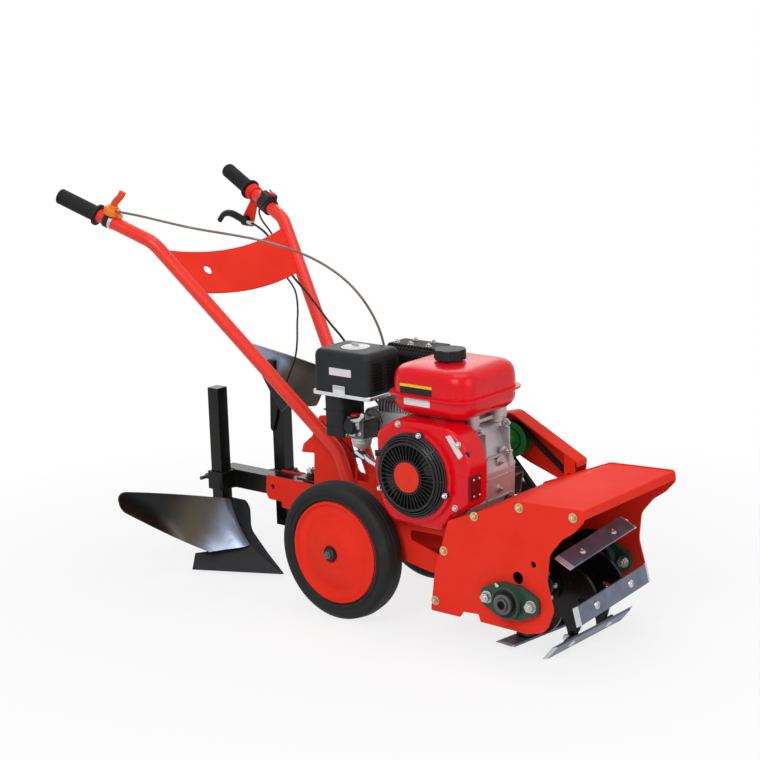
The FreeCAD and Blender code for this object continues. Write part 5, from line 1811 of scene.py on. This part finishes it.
@dataclass
class Rotor:
    """Shaft in two flange bearings, two pinwheel discs and seven bolted blades."""

    axis: Sequence[float] = (420.0, 116.0)
    blades: int = 7
    start: float = 46.0
    skew: float = 4.5
    rake: float = 16.6
    face_r: float = 120.5
    thick: float = 5.0
    length: float = 252.0
    width: float = 37.0
    bevel: float = 11.0
    bolt_half: float = 58.0
    bearing_half: float = 49.5
    bearing_faces: Sequence[float] = (-171.0, 145.0)
    disc_face: float = 55.0
    hub_bolt_ring: float = 27.0
    shaft_end: float = -194.0

    def blade_axes(self, index: int) -> tuple[Vector, Vector, Vector, Vector]:
        """Where a blade sits.

        Args:
            index: Which blade.

        Returns:
            The middle of its inner face in millimetres, and its length, width and outward directions.
        """
        angle = math.radians(self.start - 360.0 / self.blades * index)
        radial = Vector((math.cos(angle), 0, math.sin(angle)))
        tangent = Vector((-math.sin(angle), 0, math.cos(angle)))
        skew, rake = math.radians(self.skew), math.radians(self.rake)
        length = Vector((0, math.cos(skew), 0)) + tangent * math.sin(skew)
        flat = tangent * -math.cos(skew) + Vector((0, math.sin(skew), 0))
        width = flat * math.cos(rake) + radial * math.sin(rake)
        normal = width.cross(length)
        if normal.dot(radial) < 0:
            normal = -normal
        centre = Vector((self.axis[0], 0, self.axis[1])) + radial * self.face_r - normal * self.thick
        return centre, length, width, normal

    def blade_set(self) -> None:
        """Seven blades with ground ends and their bolts."""
        steel, edges, outer, inner = [], [], [], []
        half, run = self.length / 2, self.length / 2 - self.bevel
        for index in range(self.blades):
            centre, length, width, normal = self.blade_axes(index)
            turn = Matrix((length, width, normal)).transposed().to_4x4()
            if turn.determinant() < 0:
                turn = Matrix((length, -width, normal)).transposed().to_4x4()
            place = Matrix.Translation(mm(*centre)) @ turn @ TO_METRES
            wide = self.width / 2
            bar = prism([(-run, -wide), (run, -wide), (run, wide), (-run, wide)], self.thick, 0.5)
            bar.transform(place)
            steel.append(bar)
            for side in (-1, 1):
                end = bmesh.new()
                near, far = side * run, side * half
                low = [(near, -wide, 0), (far, -wide, 0), (far, wide, 0), (near, wide, 0)]
                high = [(near, -wide, self.thick), (far, -wide, 1), (far, wide, 1), (near, wide, self.thick)]
                base = [end.verts.new(corner) for corner in low]
                top = [end.verts.new(corner) for corner in high]
                end.faces.new(base)
                end.faces.new(top)
                for k in range(4):
                    end.faces.new((base[k], base[(k + 1) % 4], top[(k + 1) % 4], top[k]))
                bmesh.ops.recalc_face_normals(end, faces=end.faces)
                eased(end, 0.25)
                end.transform(place)
                edges.append(end)
                at = centre + length * (side * self.bolt_half)
                outer.append((mm(*(at + normal * self.thick)), normal))
                inner.append((mm(*(at - normal * self.thick)), -normal))
        heads = Repeats.spots(lathe([(0, 0), (8, 0), (7.2, 1.6, 0.8), (3.4, 3.0), (3.2, 1.6), (0, 1.6)], 24),
                              outer)
        nuts = Repeats.spots(hex_bolt(13, 7, 9), inner)
        piece("rotor_blades_ground", Body.ROTOR,
              [(together(steel), Finishes.BLADE), (together(edges), Finishes.BRIGHT_EDGE),
               (heads, Finishes.WHITE_ZINC), (nuts, Finishes.WHITE_ZINC)], ["rotor_blades"])

    def discs(self) -> None:
        """The two pinwheel discs with their hub bolts."""
        for side, word in ((-1, "right"), (1, "left")):
            turns = [math.radians(60 * k + 10) for k in range(6)]
            ring = [(self.axis[0] + self.hub_bolt_ring * math.cos(turn), side * self.disc_face,
                     self.axis[1] + self.hub_bolt_ring * math.sin(turn)) for turn in turns]
            nuts = fastened(hex_bolt(10, 5, 0), ring, (0, side, 0))
            collar = put(lathe([(12.6, 0), (23, 0), (23, 3, 1), (12.6, 3)], 40, True),
                         mm(self.axis[0], side * (self.disc_face + 3), self.axis[1]), Vector((0, side, 0)))
            piece("rotor_disc_" + word + "_cut", Body.ROTOR,
                  [(from_cad("rotor_disc_" + word, EDGE), Finishes.BLACK), (nuts, Finishes.WHITE_ZINC),
                   (collar, Finishes.GREEN)], ["rotor_disc_" + word])

    def shaft(self) -> None:
        """Shaft with a dark disc on its near end, painted as the shade inside a bore."""
        x, z = self.axis
        end, out = mm(x, self.shaft_end, z), RIGHT
        lip = lathe([(8.2, 0), (12.4, 0), (12.4, 2, 0.5), (8.2, 2, 0.4)], 40, True)
        # painted shade: a flat near-black disc on the shaft's end stands in for the shade inside a bore
        bore = lathe([(0, 0), (8.4, 0), (8.4, 0.4), (0, 0.4)], 40)
        piece("rotor_shaft_bored", Body.ROTOR,
              [(from_cad("rotor_shaft"), Finishes.DARK_STEEL), (put(lip, end, out), Finishes.DARK_ALLOY),
               (put(bore, end, out), Finishes.SHADOW)], ["rotor_shaft"])

    def bearings(self) -> None:
        """Cast flange bearings with their bolts, inner rings and grease nipples."""
        x, z = self.axis
        parts: list[Part] = [(from_cad("rotor_bearings", 0.0014), Finishes.GREEN)]
        for face in self.bearing_faces:
            bolts = fastened(hex_bolt(17, 8, 12), [(x + side * self.bearing_half, face, z) for side in (-1, 1)],
                             RIGHT)
            parts.append((bolts, Finishes.WHITE_ZINC))
            seal = lathe([(18, 0), (26.5, 0), (26.5, 1.4, 0.5), (18, 0.9)], 48, True)
            parts.append((put(seal, mm(x, face - 12.9, z), RIGHT), Finishes.BLACK))
            ring = lathe([(12.6, 0), (19.5, 0), (19.5, 9, 1), (17, 9.6), (12.6, 9.6, 0.8)], 48, True)
            parts.append((put(ring, mm(x, face - 12.6, z), RIGHT), Finishes.DARK_ALLOY))
            nipple = lathe([(0, 0), (3.4, 0), (3.4, 4), (2, 6), (2.4, 8, 0.5), (0, 9)], 20)
            parts.append((put(nipple, mm(x - 20, face - 6, z + 27), Vector((-0.5, -0.3, 0.8)).normalized()),
                          Finishes.ZINC))
        piece("rotor_flange_bearings", Body.FRAME, parts, ["rotor_bearings"])

    def build(self) -> None:
        """All of it."""
        self.shaft()
        self.discs()
        self.blade_set()
        self.bearings()


# ---------------------------------------------------------------- ploughs

def through(points: Route, at: float) -> float:
    """Value of the parabola through three points.

    Args:
        points: Three (place, value) points.
        at: Where it is read.

    Returns:
        Its value there.
    """
    total = 0.0
    for place, value in points:
        for other, _ in points:
            if other != place:
                value *= (at - other) / (place - other)
        total += value
    return total


@dataclass
class Ploughs:
    """Drawbar with its two posts and two plough bodies."""

    sheet: float = 4.0
    rear_tip: Sequence[float] = (-266.0, -39.0, 2.0)
    rear_curves: Sequence[Route] = (((32, -72), (90, -120), (156, -143)),
                                                        ((40, -186), (130, -226), (216, -212)),
                                                        ((130, -228), (196, -274), (262, -240)))
    rear_post: Sequence[float] = (-432.0, -39.0)
    front_post: Sequence[float] = (-324.0, 44.5)

    def drawbar(self) -> None:
        """Square bar and sleeves, with the pinch bolts and weld seams."""
        beads = []
        for x, y in ((self.rear_post[0], -20), (self.front_post[0], 20)):
            for z in (168.5, 207.5):
                beads.append(smooth_line([mm(x - 20 + 5 * k, y, z) for k in range(9)], 2))
        welds = together(tube(bead, 0.002, 8) for bead in beads)
        piece("plough_drawbar", Body.FRAME,
              [(from_cad("drawbar", SHEET_EDGE), Finishes.BLACK), (welds, Finishes.BLACK)], ["drawbar"])
        bolts = together([self.tee(mm(self.rear_post[0] - 21, self.rear_post[1], 188), Vector((-1, 0, 0))),
                          self.tee(mm(self.front_post[0], self.front_post[1] + 20, 188), LEFT)])
        piece("post_pinch_bolts", Body.FRAME, [(bolts, Finishes.DARK_STEEL)])

    @staticmethod
    def tee(at: Vector, out: Vector) -> Mesh:
        """Pinch bolt with a cross handle.

        Args:
            at: Where it enters the sleeve.
            out: The way it stands off.

        Returns:
            The bolt.
        """
        across = UP.cross(out)
        nut = put(hex_bolt(19, 8), at, out)
        stem = tube([at, at + out * 0.024], 0.0065, 16)
        bar = tube([at + out * 0.020 - across * 0.022, at + out * 0.020 + across * 0.022], 0.0042, 14)
        return together([nut, stem, bar])

    def rear_sheet(self) -> Mesh:
        """Twisted sheet of the rear plough: a flat blank cut into small squares and bent to the surface.

        Returns:
            The form.
        """
        form = bmesh.new()
        outline = rounded([(0.5, 50), (62, 39), (211, 150, 25), (212, 192, 25), (0.5, 146, 9)], 8)
        form.faces.new([form.verts.new((0, side, height)) for side, height in outline])
        for axis, low, high in ((1, 0, 216), (2, 36, 196)):
            for cut in range(low + 7, high, 7):
                place, normal = Vector(), Vector()
                place[axis], normal[axis] = cut, 1
                bmesh.ops.bisect_plane(form, geom=form.verts[:] + form.edges[:] + form.faces[:], plane_co=place,
                                       plane_no=normal)
        for vert in form.verts:
            vert.co.x = self.rear_depth(vert.co.y, vert.co.z)
        grown = bmesh.ops.extrude_face_region(form, geom=form.faces[:])
        bmesh.ops.translate(form, verts=[item for item in grown["geom"] if isinstance(item,
                                                                                      bmesh.types.BMVert)],
                            vec=(-self.sheet, 0, 0))
        bmesh.ops.recalc_face_normals(form, faces=form.faces)
        tip_x, tip_y, tip_z = self.rear_tip
        for vert in form.verts:
            vert.co = mm(tip_x + vert.co.x, tip_y - vert.co.y, tip_z + vert.co.z)
        return eased(form, 0.0006, 60)

    def rear_depth(self, side: float, height: float) -> float:
        """How far behind the tip the rear sheet's face lies.

        Args:
            side: Out from the shin.
            height: Up from the tip.

        Returns:
            The place along X from the tip, in millimetres.
        """
        depths = [through(curve, height) for curve in self.rear_curves]
        return through(list(zip((0, 100, 240), depths)), side - 14 * (1 - math.exp(-side / 14)))

    def build(self) -> None:
        """All of it."""
        self.drawbar()
        eased_nodes(Body.PLOUGH_REAR, Finishes.BLACK, ["post_rear"], BAR_EDGE)
        eased_nodes(Body.PLOUGH_FRONT, Finishes.BLACK, ["post_front"], BAR_EDGE)
        piece("mouldboard_rear_bent", Body.PLOUGH_REAR,
              [(self.rear_sheet(), Finishes.REAR_SHEET)], ["mouldboard_rear"])
        eased_nodes(Body.PLOUGH_REAR, Finishes.SHARE, ["share_rear", "landside_rear"],
                    FINE_EDGE)
        eased_nodes(Body.PLOUGH_FRONT, Finishes.FRONT_SHEET_PAINTED_LIGHT, ["mouldboard_front"], FINE_EDGE)
        eased_nodes(Body.PLOUGH_FRONT, Finishes.SHARE, ["share_front", "landside_front"],
                    FINE_EDGE)


def main() -> None:
    """Build every part in order."""
    logging.basicConfig(level=logging.INFO, format="%(message)s")
    Studio().build()
    Cables().build()
    for side in (-1, 1):
        Wheel(side).build()
    Wheel.axle()
    Chassis().build()
    Handles().build()
    Engine().build()
    BeltDrive().build()
    Rotor().build()
    Ploughs().build()


if __name__ == "__main__":
    main()
